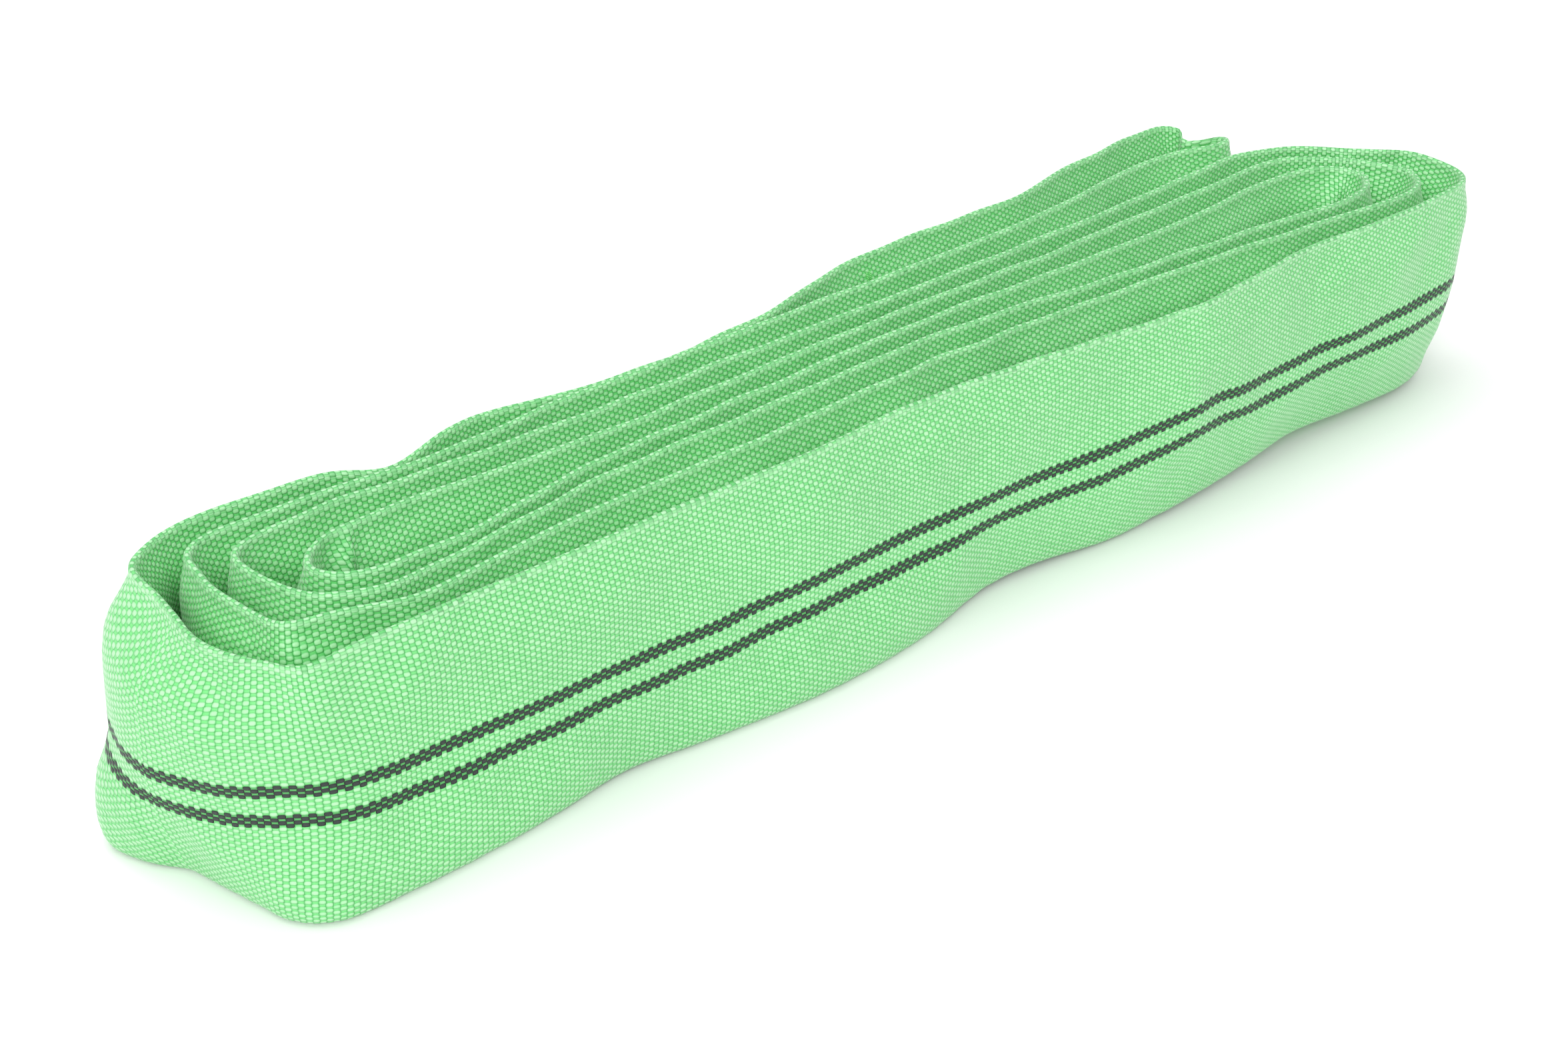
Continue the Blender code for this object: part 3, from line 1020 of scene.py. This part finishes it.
FOLDS = (
    Fold("sleeve_strand_1", Side.RIGHT, -4, 11, 9, 5, 7, -1.5, 0.5),
    Fold("sleeve_strand_1", Side.RIGHT, 2, 2.5, 20, 5, 14, 0.9, 0.6),
    Fold("sleeve_strand_1", Side.RIGHT, 16, -2, 11, 5, 9, -0.8, -0.5),
    Fold("sleeve_strand_1", Side.RIGHT, 26, -2, 12, 5, 10, 0.7, -0.9),
    Fold("sleeve_strand_1", Side.RIGHT, 12, -2, 52, 5, 9, -1.0, 0.5),
    Fold("sleeve_strand_1", Side.RIGHT, -5, 24, 50, 6, 9, -1.2, 0.3),
    Fold("sleeve_strand_8", Side.RIGHT, 217, 67, 31, 16, 30, -0.9),
    Fold("sleeve_strand_1", Side.RIGHT, 244, -6, 26, 5, 26, 0.6, 0.55),
    Fold("sleeve_strand_1", Side.RIGHT, 254, -6, 30, 5, 24, -0.6, 0.55),
    Fold("sleeve_strand_1", Side.RIGHT, 300, -3, 8, 10, 7, -0.8, -1.0),
    Fold("sleeve_strand_1", Side.RIGHT, 330, -3, 14, 8, 10, 0.8, -0.9),
    Fold("sleeve_strand_1", Side.RIGHT, 352, -1, 14, 7, 14, -0.8, -0.9),
    Fold("sleeve_bend_left_inner", Side.RIGHT, 34, 35.2, 9, 1.7, 10, 2.6, -0.45),
    Fold("sleeve_bend_left_inner", Side.RIGHT, 29, 33, 10, 1.8, 12, -1.2, -0.2),
    Fold("sleeve_bend_left_inner", Side.LEFT, 28, 33, 10, 2.0, 12, -0.8, -0.2),
    Fold("sleeve_strand_2", Side.LEFT, 26, 5.8, 9, 4.0, 9, -1.1, 0.3),
    Fold("sleeve_strand_2", Side.LEFT, 14, 8.5, 11, 3.5, 10, 1.1, -0.3),
    Fold("sleeve_bend_left_middle", Side.RIGHT, 24, 42.6, 10, 2.4, 10, 1.2, 0.4),
    Fold("sleeve_bend_left_middle", Side.RIGHT, 14.6, 29, 10, 2.4, 10, -0.9, -0.4),
    Fold("sleeve_bend_right_middle", Side.LEFT, 343, 31, 8, 2.2, 8, 2.3, 0.45),
    Fold("sleeve_bend_right_middle", Side.LEFT, 349, 24, 8, 2.2, 8, -1.4, 0.2),
    Fold("sleeve_bend_right_outer", Side.LEFT, 354, 31, 9, 2.6, 9, 2.4, -0.5),
    Fold("sleeve_bend_right_outer", Side.LEFT, 361, 23, 9, 2.2, 10, -1.6, 0.2),
    Fold("sleeve_bend_right_inner", Side.LEFT, 338, 25, 8, 2.0, 8, 2.2, 0.4),
    Fold("sleeve_bend_right_inner", Side.LEFT, 341, 19, 8, 2.0, 8, -1.2, 0.3),
)

# The sleeve's section, as millimetres below the crest and the half width there
SECTION = (
    (0.0, 0.0), (0.15, 0.42), (0.45, 0.70), (0.95, 0.86), (1.7, 0.92), (2.7, 1.04), (4.0, 1.32), (5.6, 1.74),
    (7.6, 2.24), (10.0, 2.70), (13.0, 3.04), (16.8, 3.24), (21.0, 3.34), (26.0, 3.38), (31.0, 3.40),
    (36.0, 3.38), (41.0, 3.30), (45.5, 3.15), (49.5, 2.95), (53.0, 2.70), (56.0, 2.45), (58.4, 2.15),
    (60.2, 1.70), (61.4, 1.10), (62.0, 0.0),
)


@dataclass(frozen=True)
class Swell:
    """A smooth random swell of the cloth: its height, its wave, and what it adds to its face's seed."""

    height: float
    wave: float
    seed: int


SWELLS = (Swell(0.65 * MM, 0.085, 0), Swell(0.34 * MM, 0.034, 1))
PUCKER = Swell(0.07 * MM, 0.011, 2)
STRAY = Swell(0.30 * MM, 0.034, 5)
FACE_SEEDS = {Side.RIGHT: 11, Side.LEFT: 47}


@dataclass
class Sleeve:
    """The woven sleeve, a flat tube standing on its folded edge, all the way round the loop.

    Stations closer than near along the sling don't count as its neighbours. A face bends no tighter than
    bend_share of its radius, and fills the gap to its neighbour by up to fullest, unless that is further
    than open_side. A pair is where a smooth step over the height starts and ends, from 0 to 1.
    """

    loop: Loop
    height: float = 62.0 * MM
    wall: float = 0.9 * MM
    clearance: float = 0.12 * MM
    least_half: float = 0.35 * MM
    least_face: float = 0.5 * MM
    least_bore: float = 0.08 * MM
    bore_end: float = 1.5 * MM
    near: float = 30.0 * MM
    facing: float = 0.35
    bend_share: float = 0.62
    fullest: float = 2.1 * MM
    open_side: float = 12.0 * MM
    middle_levels: tuple = (9, 16)
    lean_up: tuple = (0.55, 0.97)
    lean_down: tuple = (0.58, 0.97)
    belly_from_foot: tuple = (0.02, 0.30)
    belly_from_crest: tuple = (0.02, 0.26)
    fold_half: float = 12.5 * MM
    probe: int = 14
    flat_width: float = field(init=False)
    outer: np.ndarray = field(init=False)
    inner: np.ndarray = field(init=False)
    across: np.ndarray = field(init=False)
    level: np.ndarray = field(init=False)
    centre: np.ndarray = field(init=False)
    wide: dict = field(init=False)

    def __post_init__(self) -> None:
        """Works out the whole skin, outside and inside."""
        below = np.array([row[0] for row in SECTION]) * MM
        half = np.array([row[1] for row in SECTION]) * MM
        step = np.hypot(np.diff(below), np.diff(half))
        down = np.concatenate([[0], np.cumsum(step)])
        self.flat_width = float(down[-1])
        self.across = np.concatenate([down, 2 * down[-1] - down[-2:0:-1], [2 * down[-1]]])
        level = 1 - below / self.height
        centre = self.centres(level)
        wide = self.widths(half, level, centre, down)
        self.level, self.centre, self.wide = level, centre, wide
        self.outer = self.skin(centre, wide, level, 0.0)
        inside = {}
        for side in Side:
            inside[side] = np.where(half > 0, np.maximum(wide[side] - self.wall, self.least_bore), 0.0)
        self.inner = self.skin(centre, inside, level, self.bore_end)

    def centres(self, level: np.ndarray) -> np.ndarray:
        """The section's middle at each height.

        Args:
            level: heights, from 0 at the foot to 1 at the crest.

        Returns:
            Plan points, by station and level.
        """
        lean_up = ease(level, *self.lean_up)[None, :, None]
        lean_down = ease(1 - level, *self.lean_down)[None, :, None]
        loop = self.loop
        share = (np.arange(len(loop.plan)) / len(loop.plan))[:, None]
        stray = soft_waves(share, np.zeros((1, 1)), STRAY.wave, STRAY.seed) * STRAY.height
        leaning = loop.plan[:, None] + loop.crest[:, None] * lean_up + loop.foot[:, None] * lean_down
        return leaning + (stray * loop.normal)[:, None] * lean_up

    def room(self, centre: np.ndarray, side: Side) -> np.ndarray:
        """Half the distance from each station to the nearest other strand on one side, at one height.

        Args:
            centre: the stations' middles at that height.
            side: the side.

        Returns:
            The half distances.
        """
        count = len(centre)
        number = np.arange(count)
        apart = np.abs(number[:, None] - number[None])
        apart = np.minimum(apart, count - apart) * self.loop.spacing
        away = centre[None] - centre[:, None]
        distance = np.hypot(away[:, :, 0], away[:, :, 1])
        facing = side.value * (away * self.loop.normal[:, None]).sum(axis=2) > self.facing * distance
        distance[(apart < self.near) | ~facing] = 1.0
        inside = np.maximum(side.value * self.loop.bend, 1e-3)
        return np.minimum(distance.min(axis=1) / 2, self.bend_share / inside)

    def widths(self, half: np.ndarray, level: np.ndarray, centre: np.ndarray, down: np.ndarray) -> dict:
        """How far each face stands off from the middle.

        Args:
            half: the plain section's half widths.
            level: the levels' heights.
            centre: the section's middles.
            down: metres across the cloth at each level.

        Returns:
            For each side, widths by station and level.
        """
        share = (np.arange(len(centre)) / len(centre))[:, None]
        belly = ease(level, *self.belly_from_foot) * ease(1 - level, *self.belly_from_crest)
        every = np.arange(0, len(level), 3)
        found = {}
        for side in Side:
            rooms = np.column_stack([self.room(centre[:, i], side) for i in every])
            rising = level[::-1], level[every][::-1]
            limit = np.array([np.interp(*rising, row[::-1])[::-1] for row in rooms])
            limit = smooth(limit, 4) - self.clearance
            tightest = limit[:, slice(*self.middle_levels)].min(axis=1)
            spare = np.where(tightest < self.open_side, np.clip(tightest - half.max(), 0, self.fullest), 0.0)
            spare = smooth(spare, 6)
            seed = FACE_SEEDS[side]
            swell = np.zeros((len(centre), len(level)))
            for each in SWELLS:
                swell += each.height * soft_waves(share, down[None], each.wave, seed + each.seed)
            pucker = PUCKER.height * soft_waves(share, down[None], PUCKER.wave, seed + PUCKER.seed)
            full = swell + spare[:, None]
            if side is Side.RIGHT:
                full = full + self.loop.proud[:, None]
            full = full * belly[None] + pucker * ease(half, 0.2 * MM, 1.5 * MM)[None]
            for fold in FOLDS:
                if fold.side is side:
                    full = full + fold.swell(self.loop, down) * ease(half, 0.3 * MM, 1.6 * MM)[None]
            wide = half[None] + full
            wide = np.minimum(wide, np.maximum(limit, self.least_half))
            least = np.minimum(half, self.least_face)[None]
            found[side] = np.where(half[None] > 0, np.maximum(wide, least), 0.0)
        return found

    def skin(self, centre: np.ndarray, wide: dict, level: np.ndarray, edge: float) -> np.ndarray:
        """The skin's points, round each station from the crest down the right side and up the left.

        Args:
            centre: the section's middles.
            wide: each side's widths.
            level: the levels' heights.
            edge: how far the skin keeps from the crest and the foot.

        Returns:
            Points by station and round the ring.
        """
        loop = self.loop
        crest = (self.height - loop.drop - edge)[:, None]
        foot = (loop.lift + edge)[:, None]
        z = foot + (crest - foot) * level[None]
        sides = []
        for side in (Side.RIGHT, Side.LEFT):
            plan = centre + side.value * loop.normal[:, None] * wide[side][:, :, None]
            sides.append(np.dstack([plan, z]))
        right, left = sides
        return np.concatenate([right, left[:, -2:0:-1]], axis=1)

    def piece(self, run: Run, material: bpy.types.Material) -> bpy.types.Object:
        """Builds one length of the sleeve, a tube with a wall and two open ends.

        Args:
            run: which length.
            material: the cloth.

        Returns:
            The object.
        """
        numbers = self.loop.span(run.first, run.end)
        wrapped = numbers % len(self.outer)
        outer, inner = self.outer[wrapped], self.inner[wrapped]
        normals = grid_normals(self.outer)[wrapped], -grid_normals(self.inner)[wrapped]
        rows, ring = outer.shape[:2]
        points = np.concatenate([outer.reshape(-1, 3), inner.reshape(-1, 3)])
        faces, layer, crest, corner_normals = [], [], [], []
        below = np.minimum(self.across, self.across[-1] - self.across)
        along = numbers * self.loop.spacing
        slip = self.loop.slip[wrapped]
        offset = rows * ring
        flip = self.outward()
        for i in range(rows - 1):
            for j in range(ring):
                k = (j + 1) % ring
                corners = ((i, j, j), (i, k, j + 1), (i + 1, k, j + 1), (i + 1, j, j))
                if flip:
                    corners = corners[::-1]
                for skin, order in ((0, corners), (1, corners[::-1])):
                    faces.append(tuple(skin * offset + a * ring + b for a, b, _ in order))
                    layer += [(along[a], self.across[c] + slip[a]) for a, _, c in order]
                    crest += [(along[a], below[c]) for a, _, c in order]
                    corner_normals += [normals[skin][a, b] * (1 if flip else -1) for a, b, _ in order]
        for i, facing in ((0, -1), (rows - 1, 1)):
            for j in range(ring):
                k = (j + 1) % ring
                quad = [i * ring + j, i * ring + k, offset + i * ring + k, offset + i * ring + j]
                if (facing < 0) != flip:
                    quad = quad[::-1]
                faces.append(tuple(quad))
                layer += [(along[i], self.across[j])] * 4
                crest += [(along[i], below[j])] * 4
                direction = outer[min(i + 1, rows - 1), 0] - outer[max(i - 1, 0), 0]
                direction = facing * direction / np.linalg.norm(direction)
                corner_normals += [direction] * 4
        corner_normals = np.array(corner_normals)
        return mesh_object(run.name, points, faces, layer, material, corner_normals, np.array(crest))

    def bore(self, numbers: np.ndarray, height: float) -> tuple:
        """Where the bore's middle is at a height, and how wide it is there.

        Args:
            numbers: the stations.
            height: the height, in metres.

        Returns:
            Plan points and half widths, one for each station.
        """
        loop = self.loop
        lift, drop = loop.lift[numbers], loop.drop[numbers]
        level = (height - lift) / (self.height - drop - lift)
        place = np.interp(level, self.level[::-1], np.arange(len(self.level))[::-1])
        upper = np.minimum(place.astype(int), len(self.level) - 2)
        share = place - upper

        def between(values: np.ndarray) -> np.ndarray:
            """The values at that height, one for each station."""
            part = share[:, None] if values.ndim == 3 else share
            return values[numbers, upper] * (1 - part) + values[numbers, upper + 1] * part

        right, left = between(self.wide[Side.RIGHT]), between(self.wide[Side.LEFT])
        shift = (left - right)[:, None] / 2 * loop.normal[numbers]
        return between(self.centre) + shift, (left + right) / 2 - self.wall - self.clearance

    def outward(self) -> bool:
        """Whether the grid's own order of faces has to be turned to face out."""
        grid = self.outer
        spot = grid[0, self.probe]
        first = np.cross(grid[1, self.probe] - spot, grid[0, self.probe + 1] - spot)
        away = spot - grid[0].mean(axis=0)
        return bool(first @ away > 0)

    def build(self, finish: WovenSleeve) -> None:
        """Builds every length, hangs those that don't blend on the roll's body, and hides the CAD nodes each
        stands for.

        Args:
            finish: the cloth.
        """
        material = finish.material()
        for run in RUNS:
            made = self.piece(run, material)
            if run.blended:
                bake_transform(made)
            else:
                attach(made, Body.ROLL.value)
            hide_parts(*run.nodes)
            length = (len(self.loop.span(run.first, run.end)) - 1) * self.loop.spacing
            LOG.info("%s: %.0f mm of sleeve, %d faces", run.name, length / MM, len(made.data.polygons))


# --------------------------------------------------------------------------- the core


@dataclass
class Core:
    """The yarn core: hanks of polyester yarn that lie loosely twisted inside the sleeve.

    The hanks fill the sleeve from low to high, and each overlaps the next. They sway up and down by sway,
    once every twist, each phase further on than the one below. trim stations are left off at both ends.
    """

    loop: Loop
    sleeve: Sleeve
    hanks: int = 7
    sides: int = 8
    twist: float = 0.16
    step: int = 2
    trim: int = 14
    low: float = 11 * MM
    high: float = 47 * MM
    overlap: float = 0.52
    sway: float = 0.8 * MM
    phase: float = 2.4
    thinnest: float = 0.12 * MM
    thickest: float = 2.2 * MM
    look_around: int = 5

    def build(self, finish: CoreYarn) -> None:
        """Builds the core in the roll and the core in the tail.

        Args:
            finish: the yarn.
        """
        material = finish.material()
        spans = (
            ("core_yarn_roll", "core_roll", "sleeve_strand_1", "sleeve_strand_7", Body.ROLL),
            ("core_yarn_tail", "core_tail", "sleeve_strand_7", "sleeve_strand_1", Body.TAIL),
        )
        for name, node, first, last, body in spans:
            numbers = self.loop.span(first, last)[self.trim : -self.trim : self.step]
            made = self.bundle(name, numbers, material)
            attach(made, body.value)
            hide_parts(node)
            LOG.info("%s: %d hanks", name, self.hanks)

    def bundle(self, name: str, numbers: np.ndarray, material: bpy.types.Material) -> bpy.types.Object:
        """Builds a bundle of hanks along some stations.

        Args:
            name: the piece's name.
            numbers: the stations.
            material: the yarn.

        Returns:
            The object.
        """
        loop, wrapped = self.loop, numbers % len(self.loop.plan)
        normal = loop.normal[wrapped]
        along = numbers * loop.spacing
        points, faces, layer = [], [], []
        tall = (self.high - self.low) / self.hanks * self.overlap
        turns = [2 * math.pi * side / self.sides for side in range(self.sides)]
        for hank in range(self.hanks):
            middle = self.low + (self.high - self.low) * (hank + 0.5) / self.hanks
            sway = self.sway * np.sin(2 * math.pi * along / self.twist + hank * self.phase)
            columns = []
            for turn in turns:
                z = middle + tall * math.sin(turn)
                plan, room = self.sleeve.bore(wrapped, z)
                room = np.clip(narrowest(room, self.look_around), self.thinnest, self.thickest)
                spots = plan + normal * (room * math.cos(turn))[:, None]
                columns.append(np.column_stack([spots, z + sway]))
            base = len(points)
            points += np.stack(columns, axis=1).reshape(-1, 3).tolist()
            for quad in tube_quads(len(wrapped), self.sides):
                faces.append(tuple(base + a * self.sides + b for a, b, _ in quad))
                layer += [(along[a], c / self.sides) for a, _, c in quad]
            for end, order in ((0, -1), (len(wrapped) - 1, 1)):
                cap = [base + end * self.sides + side for side in range(self.sides)][::order]
                faces.append(tuple(cap))
                layer += [(along[end], 0.0)] * self.sides
        return mesh_object(name, np.array(points), faces, layer, material)


# --------------------------------------------------------------------------- the joint and the label


@dataclass
class Seam:
    """The joint that closes the sleeve, sewn with rows of stitches, and the label caught in it.

    Each row has a line of stitches at every one of lanes across its width. A stitch fills all of its pitch
    but a gap at each end, and arches off the cloth.
    """

    sleeve: Sleeve
    stitch: float = 3.1 * MM
    thread: float = 0.34 * MM
    lanes: tuple = (0.25, 0.75)
    gap: float = 0.08
    arch: float = 0.35
    bedding: float = 0.1
    sides: int = 8
    segments: int = 8

    def stitch_row(self, name: str, node: str, body: Body, side: float, material: bpy.types.Material) -> None:
        """Builds a row of stitches up the face of the sleeve where a CAD row stands.

        Args:
            name: the piece's name.
            node: the CAD row.
            body: the body it rides on.
            side: 1 where the row is on a face that looks to the rear, -1 to the front.
            material: the thread.
        """
        low, high = (np.array(corner, float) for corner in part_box(node))
        points, faces, layer = [], [], []
        for lane in self.lanes:
            x = low[0] + (high[0] - low[0]) * lane
            count = int((high[2] - low[2]) / self.stitch)
            pitch = (high[2] - low[2]) / count
            for i in range(count):
                z0 = low[2] + pitch * (i + self.gap)
                z1 = low[2] + pitch * (i + 1 - self.gap)
                centres = []
                for k in range(self.segments + 1):
                    t = k / self.segments
                    z = z0 + (z1 - z0) * t
                    lift = self.thread * (self.arch * math.sin(math.pi * t) + self.bedding)
                    centres.append((x, self.face_y(x, z, side) + side * lift, z))
                self.tube(centres, points, faces, layer)
        made = mesh_object(name, np.array(points), faces, layer, material)
        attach(made, body.value)
        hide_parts(node)
        LOG.info("%s: %d stitches", name, len(faces) // (self.sides * self.segments + 2))

    def tube(self, centres: list, points: list, faces: list, layer: list) -> None:
        """Adds one stitch, a short tube that narrows where it goes into the cloth.

        Args:
            centres: its centre line, which rises in Z.
            points: the mesh's points, added to.
            faces: the mesh's faces, added to.
            layer: the mesh's coordinates, added to.
        """
        base, rings = len(points), len(centres)
        for k, (x, y, z) in enumerate(centres):
            t = k / (rings - 1)
            fullness = math.sin(math.pi * min(max(t, 0.08), 0.92)) ** 0.5
            radius = self.thread * (0.35 + 0.65 * fullness)
            for side in range(self.sides):
                turn = 2 * math.pi * side / self.sides
                points.append((x + radius * math.cos(turn), y + radius * math.sin(turn), z))
        for quad in tube_quads(rings, self.sides):
            faces.append(tuple(base + a * self.sides + b for a, b, _ in quad))
            layer += [(centres[a][2], c / self.sides) for a, _, c in quad]
        for ring, order in ((0, -1), (rings - 1, 1)):
            faces.append(tuple([base + ring * self.sides + side for side in range(self.sides)][::order]))
            layer += [(0.0, 0.0)] * self.sides

    def face_y(self, x: float, z: float, side: float) -> float:
        """Where the tail's rear strand has its face.

        Args:
            x: how far along the roll.
            z: the height.
            side: 1 for its rear face, -1 for its front one.

        Returns:
            The face's Y.
        """
        numbers = self.sleeve.loop.span("sleeve_bend_tail_end", "sleeve_strand_1") % len(self.sleeve.outer)
        rings = self.sleeve.outer[numbers]
        ring = rings[np.abs(rings[:, 0, 0] - x).argmin()]
        half = len(ring) // 2
        faces = (ring[: half + 1], np.concatenate([ring[half:], ring[:1]]))
        rear, front = sorted(faces, key=lambda face: -face[:, 1].mean())
        face = rear if side > 0 else front
        order = face[:, 2].argsort()
        return float(np.interp(z, face[order, 2], face[order, 1]))


@dataclass
class Label:
    """The label: a blue strip sewn down by its tab, with its loose part lying along the sleeve.

    It lies stand_off above the sleeve. Both parts thin down to edge_thickness at the hinge, over taper, and
    the loose part comes down from the hinge to the sleeve over settle.
    """

    seam: Seam
    thickness: float = 0.5 * MM
    columns: int = 40
    rows: int = 24
    stand_off: float = 0.35 * MM
    curl: float = 1.6 * MM
    ripple: float = 0.35 * MM
    cup: float = 0.5 * MM
    edge_thickness: float = 0.08 * MM
    taper: float = 3.0 * MM
    settle: float = 6.0 * MM

    def strip(self, name: str, node: str, material: bpy.types.Material, loose: bool) -> bpy.types.Object:
        """Builds the tab or the loose part, as a thin sheet with two faces and rims.

        Args:
            name: the piece's name.
            node: the CAD node that it stands for.
            material: the label's cloth.
            loose: whether it is the loose part, which stands off the sleeve a little and curls.

        Returns:
            The object.
        """
        low, high = (np.array(corner, float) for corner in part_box(node))
        length, width = high[0] - low[0], high[2] - low[2]
        hinge_y = hinge_of("label_fold")[1]
        columns = self.columns if loose else self.columns // 4
        grid = []
        for i in range(columns + 1):
            s = i / columns
            line = []
            for j in range(self.rows + 1):
                t = j / self.rows
                x, z = low[0] + length * s, low[2] + width * t
                lie = self.seam.face_y(x, z, 1) + self.stand_off
                hold, lift = lie, 0.0
                if loose:
                    lift = self.curl * s * s + self.ripple * math.sin(5.0 * s + 2.0 * t) * s
                    lift += self.cup * s * (2 * t - 1) ** 2
                    settled = ease(x - low[0], 0, self.settle)
                    hold += (hinge_y - self.edge_thickness / 2 - lie) * (1 - settled)
                line.append((x, max(lie, hold) + lift, z))
            grid.append(line)
        grid = np.array(grid)
        back = grid.copy()
        from_hinge = grid[:, :, 0] - low[0] if loose else high[0] - grid[:, :, 0]
        full = self.thickness - self.edge_thickness
        back[:, :, 1] += self.edge_thickness + full * ease(from_hinge, 0, self.taper)
        rows, ring = columns + 1, self.rows + 1
        points = np.concatenate([grid.reshape(-1, 3), back.reshape(-1, 3)])
        faces, layer = [], []
        offset = rows * ring

        def spot(i: int, j: int) -> tuple:
            """The cloth's coordinates at a point of the grid."""
            return length * i / columns, width * j / self.rows

        for i in range(columns):
            for j in range(self.rows):
                quad = (i, j), (i + 1, j), (i + 1, j + 1), (i, j + 1)
                faces.append(tuple(a * ring + b for a, b in quad))
                layer += [spot(a, b) for a, b in quad]
                faces.append(tuple(offset + a * ring + b for a, b in quad[::-1]))
                layer += [spot(a, b) for a, b in quad[::-1]]
        rim = [(i, 0) for i in range(columns)] + [(columns, j) for j in range(self.rows)]
        rim += [(i, self.rows) for i in range(columns, 0, -1)] + [(0, j) for j in range(self.rows, 0, -1)]
        for here, after in zip(rim, rim[1:] + rim[:1]):
            a, b = here[0] * ring + here[1], after[0] * ring + after[1]
            faces.append((b, a, offset + a, offset + b))
            layer += [spot(*after), spot(*here), spot(*here), spot(*after)]
        made = mesh_object(name, points, faces, layer, material)
        made.data.set_sharp_from_angle(angle=math.radians(50))
        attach(made, (Body.LABEL if loose else Body.TAIL).value)
        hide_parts(node)
        LOG.info("%s: %.0f x %.0f mm", name, length / MM, width / MM)
        return made

    def build(self, finish: LabelCloth) -> None:
        """Builds the tab and the loose part, which are one strip of cloth.

        Args:
            finish: the label's cloth.
        """
        material = finish.material()
        tab = self.strip("label_tab_cloth", "label_tab", material, False)
        loose = self.strip("label_cloth", "label", material, True)


# --------------------------------------------------------------------------- the studio


@dataclass(frozen=True)
class Studio:
    """The floor, the light and the camera."""

    lens: float = 53.07
    place: tuple = (-0.34555, -0.37835, 0.31245)
    tilt: float = 59.0
    turn: float = -40.0
    floor_size: float = 12.0
    sky: float = 0.85

    def camera(self) -> None:
        """Places the camera."""
        data = bpy.data.cameras.new("camera")
        data.lens = self.lens
        data.sensor_width = 36.0
        data.clip_start = 0.01
        data.dof.use_dof = False
        made = bpy.data.objects.new("camera", data)
        made.location = self.place
        made.rotation_euler = (math.radians(self.tilt), 0.0, math.radians(self.turn))
        bpy.context.scene.collection.objects.link(made)
        bpy.context.scene.camera = made

    def floor(self) -> None:
        """Lays the pale floor."""
        half = self.floor_size / 2
        mesh = bpy.data.meshes.new("floor")
        corners = [(-half, -half, 0), (half, -half, 0), (half, half, 0), (-half, half, 0)]
        mesh.from_pydata(corners, [], [(0, 1, 2, 3)])
        pale = (0.93, 0.93, 0.93, 1)
        tree = Tree("pale_floor")
        mesh.materials.append(tree.dress(Base_Color=pale, Roughness=0.9, Specular_IOR_Level=0.1))
        made = bpy.data.objects.new("floor", mesh)
        made.location.z = -0.0002
        bpy.context.scene.collection.objects.link(made)

    def area(self, name: str, place: tuple, aim: tuple, size: float, power: float) -> None:
        """Adds a soft box.

        Args:
            name: its name.
            place: where it hangs.
            aim: what it points at.
            size: its side, in metres.
            power: its power, in watts.
        """
        data = bpy.data.lights.new(name, "AREA")
        data.shape = "SQUARE"
        data.size = size
        data.energy = power
        made = bpy.data.objects.new(name, data)
        made.location = place
        away = np.array(place) - np.array(aim)
        flat = math.hypot(away[0], away[1])
        made.rotation_euler = (math.atan2(flat, away[2]), 0.0, math.atan2(away[1], away[0]) + math.pi / 2)
        bpy.context.scene.collection.objects.link(made)

    def light(self) -> None:
        """Lights the studio from all round, a little more from above and from the front left."""
        world = bpy.data.worlds.new("studio")
        world.use_nodes = True
        world.node_tree.nodes["Background"].inputs[0].default_value = (1, 1, 1, 1)
        world.node_tree.nodes["Background"].inputs[1].default_value = self.sky
        bpy.context.scene.world = world
        self.area("soft_box_above", (-0.25, 0.25, 1.5), (0, 0, 0.03), 1.1, 9.0)
        self.area("soft_box_front", (-1.1, -1.0, 0.9), (0, 0, 0.03), 0.7, 12.0)
        bpy.context.scene.view_settings.view_transform = "Standard"
        bpy.context.scene.view_settings.look = "None"

    def build(self) -> None:
        """Sets the studio up."""
        self.camera()
        self.floor()
        self.light()


def main() -> None:
    """Builds the sling and the studio."""
    logging.basicConfig(level=logging.INFO, format="%(message)s")
    Studio().build()
    loop = Loop()
    LOG.info("loop: %.3f m, drawing scale %.6f", loop.circumference, loop.scale)
    sleeve = Sleeve(loop)
    sleeve.build(WovenSleeve())
    Core(loop, sleeve).build(CoreYarn())
    seam = Seam(sleeve)
    thread = SewingThread().material()
    seam.stitch_row("joint_thread_rear", "joint_stitching_rear", Body.TAIL, 1, thread)
    seam.stitch_row("joint_thread_front", "joint_stitching_front", Body.TAIL, -1, thread)
    seam.stitch_row("label_thread", "label_stitching", Body.TAIL, 1, thread)
    Label(seam).build(LabelCloth())


if __name__ == "__main__":
    main()
